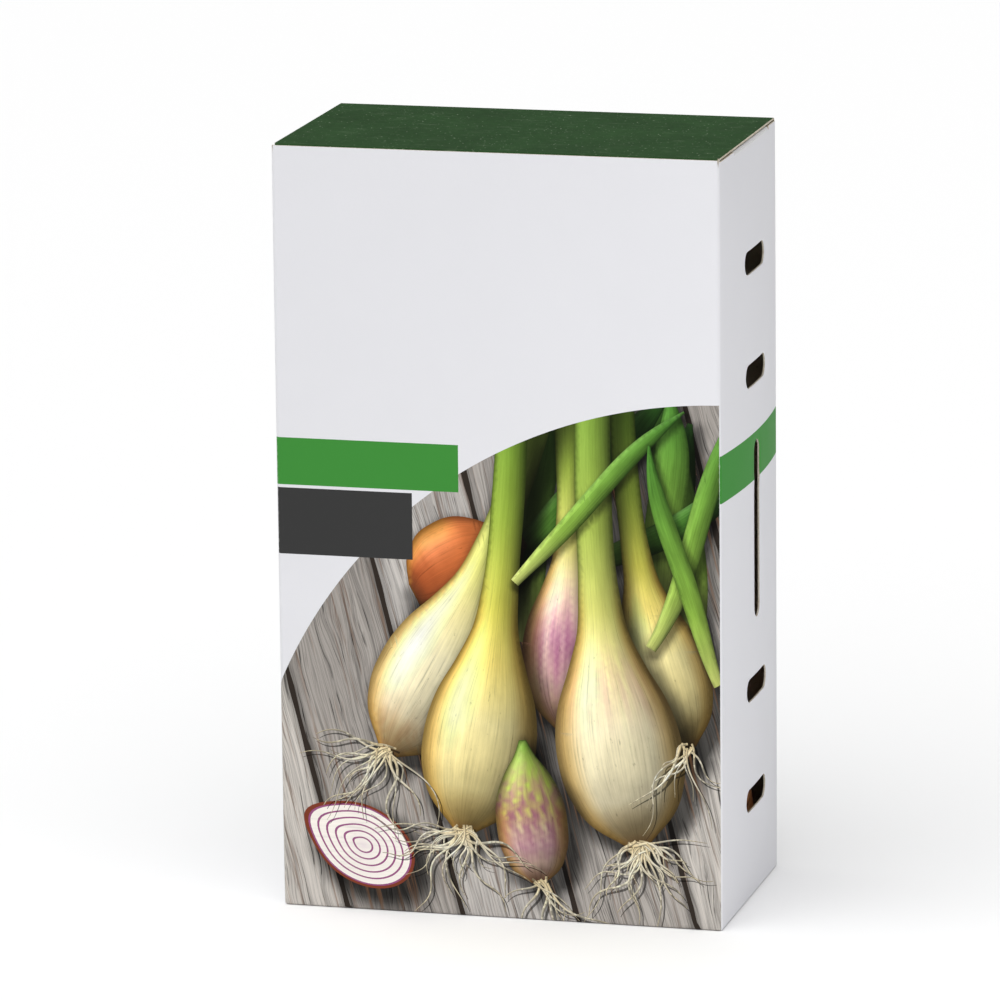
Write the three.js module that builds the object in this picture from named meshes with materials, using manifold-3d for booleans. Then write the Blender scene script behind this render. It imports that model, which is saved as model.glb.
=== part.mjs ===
// A tuck-top folding carton of paperboard, with a loose fill of shallot sets inside.
// Units are millimetres. The origin is at the middle of the carton's footprint, on the surface it stands on.
// The front panel faces -Y, +X is to its right and +Z is up.

import * as THREE from "three";
import { mergeVertices } from "three/addons/utils/BufferGeometryUtils.js";
import Module from "manifold-3d";

// Carton, outside sizes from crease to crease
const WIDTH = 105;
const DEPTH = 58;
const HEIGHT = 180;

// Board
const BOARD = 0.46;
const SLACK = 0.3; // free space kept between pieces that touch in the real carton
const CREASE_RADIUS = 0.9; // outside radius of a folded upright crease
const CREASE_STEPS = 3; // facets round one upright crease

// Bow of the two side panels: the sleeve is held flat at both ends and pushed out between them
const SIDE_BOW = 1.7;
const BOW_FLATNESS = 6; // how soon the bow is full above the bottom and below the top
const PANEL_STEPS = 10; // facets across a bowed side panel
const HEIGHT_STEPS = 14; // rows of facets up the sleeve, closer together near its ends

// Heights of the top closure, from the lid down
const LID_MID = HEIGHT - BOARD / 2;
const DUST_FLAP_MID = HEIGHT - BOARD - SLACK - BOARD / 2;
const FRONT_TOP = HEIGHT - 0.2;
const SHOULDER_TOP = HEIGHT - BOARD - SLACK;

// Folded edges that turn: a round bead on the flap, with slack to the board that carries it
const BEAD_RADIUS = BOARD / 2;
const BEAD_SIDES = 8;
const BEAD_CLEARANCE = BEAD_RADIUS + SLACK;

// Lid and its tongue
const LID_SIDE_GAP = 0.4; // the lid is this much narrower than the front panel at each end
const LID_CORNER = 1.2;
const LID_HINGE_Y = DEPTH / 2 - BOARD / 2;
const TONGUE_HINGE_Y = -(DEPTH / 2 - BOARD - SLACK - BOARD / 2);
const TONGUE_LENGTH = 15;
const TONGUE_SIDE_GAP = 1.3;
const TONGUE_CORNER = 8;
const TONGUE_LEAN = THREE.MathUtils.degToRad(12); // how far it leans inwards, so that it slides out freely

// Top dust flaps, measured from the front panel towards the back, and inwards from the side panel
const DUST_FLAP_FRONT = 15;
const DUST_FLAP_BACK = 50;
const DUST_FLAP_REACH = 36;
const DUST_FLAP_TIP_BACK = 36; // where the slanted back edge meets the inner edge
const DUST_FLAP_SHOULDER = 6; // length of the straight part beside the crease, before the slant
const DUST_FLAP_CORNER = 5;
const DUST_FLAP_END_GAP = 0.4;
const RELIEF_WIDTH = 0.7; // small notch where the front panel and a side panel part at the top
const RELIEF_DEPTH = 1.7;

// Bottom flaps, glued over each other
const INNER_BOTTOM_REACH = 40;
const BOTTOM_DUST_REACH = 35;
const BOTTOM_DUST_TAPER = 9;

// Glue flap inside the back left corner
const GLUE_FLAP_WIDTH = 12;
const GLUE_FLAP_END = 4; // how far its ends stop short of the sleeve's
const GLUE_FLAP_TAPER = 4;

// Vent slots in each side panel: short level ones above and below a long upright one
const SLOT_WIDTH = 5.5;
const SHORT_SLOT = 20;
const LONG_SLOT = 42;
const SLOT_COLUMN_MID = 88.6; // height of the long slot's middle
const SLOT_NEAR = 37.1; // from there to the middles of the inner short slots
const SLOT_FAR = 63.5;
const SLOT_FROM_MID = 1; // the column stands a little behind the middle of the panel
const VENT_SLOTS = [
  { height: SLOT_COLUMN_MID - SLOT_FAR, length: SHORT_SLOT, upright: false },
  { height: SLOT_COLUMN_MID - SLOT_NEAR, length: SHORT_SLOT, upright: false },
  { height: SLOT_COLUMN_MID, length: LONG_SLOT, upright: true },
  { height: SLOT_COLUMN_MID + SLOT_NEAR, length: SHORT_SLOT, upright: false },
  { height: SLOT_COLUMN_MID + SLOT_FAR, length: SHORT_SLOT, upright: false },
];

// Shallot sets
const BULB_COUNT = 16;
const BULB_RADIUS = [13.2, 15.4];
const BULB_SLENDERNESS = [2.35, 2.75]; // length over radius
const BULB_SIDES = 12;
const BULB_SEED = 11;
const SETTLE_STEPS = 6000;
const SETTLE_SINK = 0.06; // how far a set sinks in the first step
const SETTLE_SHAKE = 0.8; // how far a step shakes it sideways at first

const wasm = await Module();
wasm.setup();

const material = (color, roughness) => new THREE.MeshStandardMaterial({ color, roughness, metalness: 0 });
const MATERIALS = {
  sleeve: () => material(0xe4e4e6, 0.55),
  lid: () => material(0x2f4c2e, 0.5),
  flap: () => material(0xc9c2b4, 0.8),
  bulb: () => material(0xb07a4a, 0.6),
};

// Numbers between 0 and 1, the same on every run.
function seededRandom(seed) {
  let state = seed;
  return () => {
    state = (state + 0x6d2b79f5) | 0;
    let mixed = Math.imul(state ^ (state >>> 15), 1 | state);
    mixed = (mixed + Math.imul(mixed ^ (mixed >>> 7), 61 | mixed)) ^ mixed;
    return ((mixed ^ (mixed >>> 14)) >>> 0) / 4294967296;
  };
}

// A closed three.js geometry as a solid that can be joined and cut.
function solidOf(geometry) {
  const bare = geometry.clone();
  bare.deleteAttribute("normal");
  bare.deleteAttribute("uv");
  const merged = mergeVertices(bare, 1e-4);
  return new wasm.Manifold(
    new wasm.Mesh({
      numProp: 3,
      vertProperties: new Float32Array(merged.attributes.position.array),
      triVerts: new Uint32Array(merged.index.array),
    }),
  );
}

// The joined or cut solid as a geometry with flat faces.
function geometryOf(solid) {
  const mesh = solid.getMesh();
  const geometry = new THREE.BufferGeometry();
  geometry.setAttribute("position", new THREE.BufferAttribute(mesh.vertProperties, 3));
  geometry.setIndex(new THREE.BufferAttribute(mesh.triVerts, 1));
  const flat = geometry.toNonIndexed();
  flat.computeVertexNormals();
  return flat;
}

function piece(name, geometry, finish) {
  const made = new THREE.Mesh(geometry, finish());
  made.name = name;
  return made;
}

// A flat sheet of board: the outline in X and Y, its thickness centred on z = 0.
function sheet(outline, facets = 4) {
  const geometry = new THREE.ExtrudeGeometry(outline, {
    depth: BOARD,
    bevelEnabled: false,
    curveSegments: facets,
  });
  return geometry.translate(0, 0, -BOARD / 2);
}

function rectangle(x0, y0, x1, y1) {
  return new THREE.Shape([
    new THREE.Vector2(x0, y0),
    new THREE.Vector2(x1, y0),
    new THREE.Vector2(x1, y1),
    new THREE.Vector2(x0, y1),
  ]);
}

// Pushes the side panels out: nothing moves at the creases, the bottom or the top.
function bowSides(geometry) {
  const points = geometry.getAttribute("position");
  for (let i = 0; i < points.count; i += 1) {
    const across = 1 - ((2 * points.getY(i)) / DEPTH) ** 2;
    const upward = 1 - Math.abs((2 * points.getZ(i)) / HEIGHT - 1) ** BOW_FLATNESS;
    points.setX(i, points.getX(i) * (1 + (across * upward * SIDE_BOW) / (WIDTH / 2)));
  }
  return geometry;
}

// The sleeve's outline in plan, drawn in by the inset: straight panels joined by round creases.
function sleeveOutline(inset) {
  const radius = CREASE_RADIUS - inset;
  const endX = WIDTH / 2 - inset - radius;
  const endY = DEPTH / 2 - inset - radius;
  const creases = [
    { x: endX, y: -endY, from: -90, sideFollows: true },
    { x: endX, y: endY, from: 0, sideFollows: false },
    { x: -endX, y: endY, from: 90, sideFollows: true },
    { x: -endX, y: -endY, from: 180, sideFollows: false },
  ];
  const points = [];
  for (const crease of creases) {
    for (let k = 0; k <= CREASE_STEPS; k += 1) {
      const angle = THREE.MathUtils.degToRad(crease.from + (90 * k) / CREASE_STEPS);
      points.push(
        new THREE.Vector2(crease.x + radius * Math.cos(angle), crease.y + radius * Math.sin(angle)),
      );
    }
    if (crease.sideFollows) {
      const wall = Math.sign(crease.x) * (endX + radius);
      for (let k = 1; k < PANEL_STEPS; k += 1) {
        points.push(new THREE.Vector2(wall, crease.y * (1 - (2 * k) / PANEL_STEPS)));
      }
    }
  }
  return points;
}

// A slot with round ends, as a bar along X that cuts through one side panel.
function slotCutter(side, slot) {
  const radius = SLOT_WIDTH / 2;
  const straight = slot.length / 2 - radius;
  const outline = new THREE.Shape();
  outline.moveTo(radius, -straight);
  outline.lineTo(radius, straight);
  outline.absarc(0, straight, radius, 0, Math.PI, false);
  outline.lineTo(-radius, -straight);
  outline.absarc(0, -straight, radius, Math.PI, 2 * Math.PI, false);
  const bar = new THREE.ExtrudeGeometry(outline, { depth: 10, bevelEnabled: false, curveSegments: 6 });
  bar.translate(0, 0, -5).rotateZ(slot.upright ? 0 : Math.PI / 2);
  bar.rotateX(Math.PI / 2).rotateZ(Math.PI / 2);
  return solidOf(bar.translate((side * WIDTH) / 2, SLOT_FROM_MID, slot.height));
}

function boxCutter(x0, x1, y0, y1, z0, z1) {
  const box = new THREE.BoxGeometry(x1 - x0, y1 - y0, z1 - z0);
  return solidOf(box.translate((x0 + x1) / 2, (y0 + y1) / 2, (z0 + z1) / 2));
}

// A small wedge, point down, out of an upright crease at the top of the front panel.
function reliefCutter(side) {
  const wedge = new THREE.Shape([
    new THREE.Vector2(0, -RELIEF_DEPTH),
    new THREE.Vector2(RELIEF_WIDTH / 2, 1),
    new THREE.Vector2(-RELIEF_WIDTH / 2, 1),
  ]);
  const bar = new THREE.ExtrudeGeometry(wedge, { depth: 4, bevelEnabled: false });
  bar.translate(0, 0, -2).rotateX(Math.PI / 2).rotateZ((side * Math.PI) / 4);
  return solidOf(bar.translate(side * (WIDTH / 2 - BOARD), -DEPTH / 2 + BOARD, FRONT_TOP));
}

function makeSleeve() {
  const plan = new THREE.Shape(sleeveOutline(0));
  plan.holes.push(new THREE.Path(sleeveOutline(BOARD)));
  const walls = new THREE.ExtrudeGeometry(plan, {
    depth: FRONT_TOP,
    steps: HEIGHT_STEPS,
    bevelEnabled: false,
  });
  const points = walls.getAttribute("position");
  for (let i = 0; i < points.count; i += 1) {
    const share = points.getZ(i) / FRONT_TOP;
    points.setZ(i, (FRONT_TOP * (1 - Math.cos(Math.PI * share))) / 2);
  }
  let sleeve = solidOf(bowSides(walls));
  const past = WIDTH;
  const behindFront = -DEPTH / 2 + BOARD + SLACK / 2;
  sleeve = sleeve.subtract(boxCutter(-past, past, behindFront, past, SHOULDER_TOP, HEIGHT + 1));
  for (const side of [-1, 1]) {
    const [x0, x1] = side < 0 ? [-past, -past / 3] : [past / 3, past];
    const front = -DEPTH / 2 + DUST_FLAP_FRONT - DUST_FLAP_END_GAP;
    const back = -DEPTH / 2 + DUST_FLAP_BACK + DUST_FLAP_END_GAP;
    const creaseFoot = DUST_FLAP_MID - BEAD_CLEARANCE;
    sleeve = sleeve.subtract(boxCutter(x0, x1, front, back, creaseFoot, HEIGHT + 1));
    sleeve = sleeve.subtract(reliefCutter(side));
    for (const slot of VENT_SLOTS) {
      sleeve = sleeve.subtract(slotCutter(side, slot));
    }
  }
  return piece("sleeve", geometryOf(sleeve), MATERIALS.sleeve);
}

// A flap that turns about X at y = 0: its sheet reaches towards +Y and its folded edge is a round bead.
function hingedFlap(outline, beadFrom, beadTo) {
  const bead = new THREE.CylinderGeometry(BEAD_RADIUS, BEAD_RADIUS, beadTo - beadFrom, BEAD_SIDES);
  bead.rotateY(Math.PI / BEAD_SIDES).rotateZ(Math.PI / 2);
  bead.translate((beadFrom + beadTo) / 2, 0, 0);
  return geometryOf(solidOf(sheet(outline)).add(solidOf(bead)));
}

function makeLid() {
  const half = WIDTH / 2 - LID_SIDE_GAP;
  const reach = LID_HINGE_Y - TONGUE_HINGE_Y - BEAD_CLEARANCE;
  const outline = new THREE.Shape();
  outline.moveTo(-half, 0);
  outline.lineTo(half, 0);
  outline.lineTo(half, reach - LID_CORNER);
  outline.absarc(half - LID_CORNER, reach - LID_CORNER, LID_CORNER, 0, Math.PI / 2, false);
  outline.lineTo(-half + LID_CORNER, reach);
  outline.absarc(-half + LID_CORNER, reach - LID_CORNER, LID_CORNER, Math.PI / 2, Math.PI, false);
  const lid = piece("top_lid", hingedFlap(outline, -half, half), MATERIALS.lid);
  lid.rotation.z = Math.PI;
  lid.position.set(0, LID_HINGE_Y, LID_MID);
  return lid;
}

function makeTongue() {
  const half = WIDTH / 2 - TONGUE_SIDE_GAP;
  const straight = TONGUE_LENGTH - TONGUE_CORNER;
  const outline = new THREE.Shape();
  outline.moveTo(-half, 0);
  outline.lineTo(half, 0);
  outline.lineTo(half, straight);
  outline.absarc(half - TONGUE_CORNER, straight, TONGUE_CORNER, 0, Math.PI / 2, false);
  outline.lineTo(-half + TONGUE_CORNER, TONGUE_LENGTH);
  outline.absarc(-half + TONGUE_CORNER, straight, TONGUE_CORNER, Math.PI / 2, Math.PI, false);
  const tongue = piece("tuck_tongue", hingedFlap(outline, -half, half), MATERIALS.lid);
  tongue.rotation.x = -Math.PI / 2 + TONGUE_LEAN;
  tongue.position.set(0, TONGUE_HINGE_Y, LID_MID);
  return tongue;
}

// Its back edge slants away from the lid's crease, so that it can rise as the lid opens.
function makeDustFlap(side) {
  const middle = DEPTH / 2;
  const front = side * (DUST_FLAP_FRONT - middle);
  const back = side * (DUST_FLAP_BACK - middle);
  const tipBack = side * (DUST_FLAP_TIP_BACK - middle);
  const corner = side * DUST_FLAP_CORNER;
  const outline = new THREE.Shape();
  outline.moveTo(back, 0);
  outline.lineTo(back, DUST_FLAP_SHOULDER);
  outline.lineTo(tipBack, DUST_FLAP_REACH);
  outline.lineTo(front + corner, DUST_FLAP_REACH);
  outline.quadraticCurveTo(front, DUST_FLAP_REACH, front, DUST_FLAP_REACH - DUST_FLAP_CORNER);
  outline.lineTo(front, 0);
  const name = side > 0 ? "right_dust_flap" : "left_dust_flap";
  const flap = piece(
    name,
    hingedFlap(outline, Math.min(front, back), Math.max(front, back)),
    MATERIALS.flap,
  );
  flap.rotation.z = (side * Math.PI) / 2;
  flap.position.set(side * (WIDTH / 2 - BOARD / 2), 0, DUST_FLAP_MID);
  return flap;
}

// The glued bottom: the outer flap lies on the table, the inner one on it, and the dust flaps on top.
function makeBottom() {
  const half = WIDTH / 2 - BOARD - SLACK;
  const wall = DEPTH / 2 - BOARD - SLACK;
  const layer = BOARD + SLACK;
  const bottom = new THREE.Group();
  const outer = piece("outer_bottom_flap", sheet(rectangle(-half, -wall, half, wall)), MATERIALS.flap);
  outer.position.z = BOARD / 2;
  const innerEdge = wall - INNER_BOTTOM_REACH;
  const inner = piece("inner_bottom_flap", sheet(rectangle(-half, innerEdge, half, wall)), MATERIALS.flap);
  inner.position.z = BOARD / 2 + layer;
  bottom.add(outer, inner);
  for (const side of [-1, 1]) {
    const tip = wall - BOTTOM_DUST_TAPER;
    const outline = new THREE.Shape([
      new THREE.Vector2(side * half, -side * wall),
      new THREE.Vector2(side * half, side * wall),
      new THREE.Vector2(side * (half - BOTTOM_DUST_REACH), side * tip),
      new THREE.Vector2(side * (half - BOTTOM_DUST_REACH), -side * tip),
    ]);
    const name = side > 0 ? "right_bottom_dust_flap" : "left_bottom_dust_flap";
    const flap = piece(name, sheet(outline), MATERIALS.flap);
    flap.position.z = BOARD / 2 + 2 * layer;
    bottom.add(flap);
  }
  return bottom;
}

// A strip against the inside of the left panel, at the back, with slanted ends.
function makeGlueFlap() {
  const cornerY = DEPTH / 2 - BOARD - SLACK;
  const freeY = cornerY - GLUE_FLAP_WIDTH;
  const strip = new THREE.BoxGeometry(BOARD, GLUE_FLAP_WIDTH, 1, 1, 4, HEIGHT_STEPS);
  const x = -(WIDTH / 2 - BOARD - SLACK - BOARD / 2);
  strip.translate(x, (cornerY + freeY) / 2, 0);
  const points = strip.getAttribute("position");
  for (let i = 0; i < points.count; i += 1) {
    const fromCorner = (cornerY - points.getY(i)) / GLUE_FLAP_WIDTH;
    const halfLength = HEIGHT / 2 - GLUE_FLAP_END - GLUE_FLAP_TAPER * fromCorner;
    points.setZ(i, HEIGHT / 2 + halfLength * Math.sin(Math.PI * points.getZ(i)));
  }
  return piece("glue_flap", bowSides(strip), MATERIALS.flap);
}

// Half outline of a shallot set, as shares of its radius and its length, from root plate to dried neck.
function bulbProfile() {
  const skin = new THREE.SplineCurve([
    new THREE.Vector2(0.24, 0),
    new THREE.Vector2(0.67, 0.1),
    new THREE.Vector2(0.97, 0.3),
    new THREE.Vector2(0.96, 0.48),
    new THREE.Vector2(0.7, 0.68),
    new THREE.Vector2(0.35, 0.83),
    new THREE.Vector2(0.18, 0.93),
    new THREE.Vector2(0.13, 1),
  ]);
  return skin.getPoints(11);
}

function profileRadius(profile, share) {
  const next = Math.max(
    1,
    profile.findIndex((point) => point.y >= share),
  );
  const low = profile[next - 1];
  const high = profile[next];
  return THREE.MathUtils.mapLinear(share, low.y, high.y, low.x, high.x);
}

// Lets the sets sink into the carton and pushes them apart, each one as a row of balls along its axis.
function settleBulbs(profile) {
  const random = seededRandom(BULB_SEED);
  const within = ([low, high]) => low + (high - low) * random();
  const room = {
    x: WIDTH / 2 - BOARD - SLACK - 0.2,
    y: DEPTH / 2 - BOARD - SLACK,
    floor: 3 * BOARD + 3 * SLACK,
  };
  const ballShares = [0.07, 0.18, 0.3, 0.42, 0.54, 0.66, 0.78, 0.88, 0.98];
  const bulbs = [];
  for (let i = 0; i < BULB_COUNT; i += 1) {
    const radius = within(BULB_RADIUS);
    const length = radius * within(BULB_SLENDERNESS);
    const heading = 2 * Math.PI * random();
    const tilt = 0.8 * (random() - 0.5);
    const axis = new THREE.Vector3(
      Math.cos(heading) * Math.cos(tilt),
      Math.sin(heading) * Math.cos(tilt),
      Math.sin(tilt),
    );
    const turn = new THREE.Quaternion().setFromUnitVectors(new THREE.Vector3(0, 1, 0), axis);
    const spot = new THREE.Vector3(
      (random() - 0.5) * (WIDTH - 4 * radius),
      (random() - 0.5) * (DEPTH - 3 * radius),
      18 + 7 * i,
    );
    const inertia = length ** 2 / 10;
    bulbs.push({ radius, length, turn, spot, inertia });
  }
  const ballsOf = (bulb) =>
    ballShares.map((share) => {
      const arm = new THREE.Vector3(0, (share - 0.5) * bulb.length, 0).applyQuaternion(bulb.turn);
      return { arm, radius: bulb.radius * profileRadius(profile, share) + SLACK / 2 };
    });
  const push = (bulb, arm, direction, amount) => {
    const twist = new THREE.Vector3().crossVectors(arm, direction);
    const share = amount / (1 + twist.lengthSq() / bulb.inertia);
    bulb.spot.addScaledVector(direction, share);
    const angle = (twist.length() * share) / bulb.inertia;
    if (angle > 0) {
      const spin = new THREE.Quaternion().setFromAxisAngle(twist.normalize(), angle);
      bulb.turn.premultiply(spin).normalize();
    }
  };
  const sides = [
    { direction: new THREE.Vector3(1, 0, 0), reach: room.x },
    { direction: new THREE.Vector3(-1, 0, 0), reach: room.x },
    { direction: new THREE.Vector3(0, 1, 0), reach: room.y },
    { direction: new THREE.Vector3(0, -1, 0), reach: room.y },
    { direction: new THREE.Vector3(0, 0, 1), reach: -room.floor },
  ];
  const between = new THREE.Vector3();
  for (let step = 0; step < SETTLE_STEPS; step += 1) {
    const ease = Math.max(0, 1 - step / (0.8 * SETTLE_STEPS));
    for (const bulb of bulbs) {
      bulb.spot.z -= SETTLE_SINK * ease;
      bulb.spot.x += SETTLE_SHAKE * ease ** 2 * (random() - 0.5);
      bulb.spot.y += SETTLE_SHAKE * ease ** 2 * (random() - 0.5);
    }
    for (let a = 0; a < bulbs.length; a += 1) {
      for (let b = a + 1; b < bulbs.length; b += 1) {
        if (bulbs[a].spot.distanceTo(bulbs[b].spot) > (bulbs[a].length + bulbs[b].length) / 2) {
          continue;
        }
        for (const ballA of ballsOf(bulbs[a])) {
          for (const ballB of ballsOf(bulbs[b])) {
            between.copy(bulbs[a].spot).add(ballA.arm).sub(bulbs[b].spot).sub(ballB.arm);
            const overlap = ballA.radius + ballB.radius - between.length();
            if (overlap > 0) {
              between.normalize();
              push(bulbs[a], ballA.arm, between, overlap / 2);
              push(bulbs[b], ballB.arm, between.clone().negate(), overlap / 2);
            }
          }
        }
      }
    }
    for (const bulb of bulbs) {
      for (const { direction, reach } of sides) {
        for (const ball of ballsOf(bulb)) {
          const depth = ball.radius - reach - direction.dot(bulb.spot) - direction.dot(ball.arm);
          if (depth > 0) {
            push(bulb, ball.arm, direction, depth);
          }
        }
      }
    }
  }
  return bulbs;
}

function makeBulbs() {
  const profile = bulbProfile();
  const fill = new THREE.Group();
  settleBulbs(profile).forEach((bulb, index) => {
    const points = profile.map(
      (point) => new THREE.Vector2(point.x * bulb.radius, (point.y - 0.5) * bulb.length),
    );
    const closed = [new THREE.Vector2(0, points[0].y), ...points];
    closed.push(new THREE.Vector2(0, points[points.length - 1].y));
    const name = "shallot_bulb_" + String(index + 1).padStart(2, "0");
    const made = piece(name, new THREE.LatheGeometry(closed, BULB_SIDES), MATERIALS.bulb);
    made.quaternion.copy(bulb.turn);
    made.position.copy(bulb.spot);
    fill.add(made);
  });
  return fill;
}

const carton = new THREE.Group();
carton.add(makeSleeve(), makeGlueFlap(), makeBottom());
carton.add(makeLid(), makeTongue());
for (const side of [-1, 1]) {
  carton.add(makeDustFlap(side));
}
carton.add(makeBulbs());

export default carton;
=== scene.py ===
"""Looks of a tuck-top paperboard carton of shallot sets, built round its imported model.

Sizes in the classes are millimetres. Meshes are written in metres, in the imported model's own frame:
the front panel faces -Y, +X is to its right, and the carton stands on z = 0.
"""

import logging
import math
from dataclasses import dataclass, field
from enum import Enum, IntEnum
from typing import Iterable, Mapping, Sequence

import bpy
import numpy as np
from mathutils import Matrix, Vector
from mathutils.geometry import delaunay_2d_cdt


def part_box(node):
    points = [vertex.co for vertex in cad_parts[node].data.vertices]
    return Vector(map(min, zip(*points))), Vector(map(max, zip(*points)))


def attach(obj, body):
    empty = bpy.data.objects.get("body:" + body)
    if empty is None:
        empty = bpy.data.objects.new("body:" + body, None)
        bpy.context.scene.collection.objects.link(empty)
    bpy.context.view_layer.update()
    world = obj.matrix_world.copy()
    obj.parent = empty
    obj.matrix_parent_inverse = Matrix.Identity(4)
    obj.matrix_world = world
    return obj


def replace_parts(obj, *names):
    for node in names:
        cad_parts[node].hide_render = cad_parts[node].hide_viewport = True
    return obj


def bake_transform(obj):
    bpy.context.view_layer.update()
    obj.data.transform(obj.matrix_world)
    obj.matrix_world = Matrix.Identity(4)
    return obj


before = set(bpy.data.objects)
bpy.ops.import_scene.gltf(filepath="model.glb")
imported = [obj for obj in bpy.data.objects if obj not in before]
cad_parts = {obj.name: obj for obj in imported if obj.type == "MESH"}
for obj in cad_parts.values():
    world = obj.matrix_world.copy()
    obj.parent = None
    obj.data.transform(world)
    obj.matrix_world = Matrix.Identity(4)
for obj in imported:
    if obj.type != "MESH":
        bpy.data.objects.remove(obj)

log = logging.getLogger("carton")

MM = 0.001
WHITE_SEEN = 229  # what the lit white board measures in the picture, out of 255
WHITE_ALBEDO = 0.73
SHARP_FROM = math.radians(32)  # a fold between two faces shows as an edge from this angle
GOLDEN_TURN = 2.39996  # radians from one spot of an even spiral to the next

Colour = tuple[float, float, float]


def linear(seen: Sequence[float]) -> np.ndarray:
    """Turns display colours from 0 to 1 into linear light."""
    values = np.clip(np.asarray(seen, float), 0, 1)
    return np.where(values <= 0.04045, values / 12.92, ((values + 0.055) / 1.055) ** 2.4)


def albedo(seen: Sequence[float]) -> np.ndarray:
    """Turns display colours, as the lit board shows them, into the share of light that the board returns."""
    return np.minimum(0.9, linear(seen) * WHITE_ALBEDO / float(linear([WHITE_SEEN / 255])[0]))


def shade_of(red: float, green: float, blue: float) -> Colour:
    """A display colour from numbers out of 255."""
    return (red / 255, green / 255, blue / 255)


def pigment(seen: Colour) -> Colour:
    """The base colour that shows as a display colour on the lit board."""
    return tuple(albedo(seen))


def tone_stops(*stops: tuple[float, float, float, float]) -> tuple[tuple[float, Colour], ...]:
    """Tones along a form, from (share of its length, red, green, blue) with the colours out of 255."""
    return tuple((share, shade_of(*seen)) for share, *seen in stops)


def smooth_step(low: float, high: float, values: np.ndarray) -> np.ndarray:
    """Eases from 0 at low to 1 at high, which may be the smaller of the two."""
    share = np.clip((values - low) / (high - low), 0, 1)
    return share * share * (3 - 2 * share)


def through(knots: Sequence[tuple[float, float]], at: np.ndarray) -> np.ndarray:
    """A smooth curve through knots, read at the given places.

    Args:
        knots: (place, height) pairs in rising order of place.
        at: the places.

    Returns:
        The curve's heights, from a cubic between each pair of knots.
    """
    x, y = np.array(knots, float).T
    slopes = np.gradient(y, x)
    k = np.clip(np.searchsorted(x, at) - 1, 0, len(x) - 2)
    step = x[k + 1] - x[k]
    t = np.clip((at - x[k]) / step, 0, 1)
    rise = y[k] * (1 + 2 * t) * (1 - t) ** 2 + y[k + 1] * t * t * (3 - 2 * t)
    return rise + step * (slopes[k] * t * (1 - t) ** 2 - slopes[k + 1] * t * t * (1 - t))


class Wire:
    """An output socket of a node tree. Arithmetic on it adds Math nodes."""

    def __init__(self, board: "NodeBoard", socket: bpy.types.NodeSocket) -> None:
        """Keeps the socket and the board that it belongs to."""
        self.board = board
        self.socket = socket

    def __add__(self, other: "Wire | float") -> "Wire":
        """Sum."""
        return self.board.math("ADD", self, other)

    def __sub__(self, other: "Wire | float") -> "Wire":
        """Difference."""
        return self.board.math("SUBTRACT", self, other)

    def __rsub__(self, other: float) -> "Wire":
        """Difference, with a number in front."""
        return self.board.math("SUBTRACT", other, self)

    def __mul__(self, other: "Wire | float") -> "Wire":
        """Product."""
        return self.board.math("MULTIPLY", self, other)

    def __truediv__(self, other: "Wire | float") -> "Wire":
        """Quotient."""
        return self.board.math("DIVIDE", self, other)

    __radd__ = __add__
    __rmul__ = __mul__

    def rising(self, low: float, high: float) -> "Wire":
        """Eases from 0 at low to 1 at high."""
        settings = {"interpolation_type": "SMOOTHSTEP"}
        sockets = {"Value": self, "From Min": low, "From Max": high}
        return self.board.node("ShaderNodeMapRange", settings, sockets)["Result"]

    def falling(self, low: float, high: float) -> "Wire":
        """Eases from 1 at low to 0 at high."""
        return 1 - self.rising(low, high)

    def shown(self, amount: "Wire") -> "Wire":
        """This factor where the amount is 1, and no change where it is 0."""
        return 1 + (self - 1) * amount

    def sine(self) -> "Wire":
        """Sine of an angle in radians."""
        return self.board.math("SINE", self)


class Placed:
    """A node that has been placed. Its outputs are read by name."""

    def __init__(self, board: "NodeBoard", node: bpy.types.Node) -> None:
        """Keeps the node and its board."""
        self.board = board
        self.node = node

    def __getitem__(self, name: str) -> Wire:
        """The output of that identifier or name."""
        return Wire(self.board, NodeBoard.socket(self.node.outputs, name))


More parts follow.
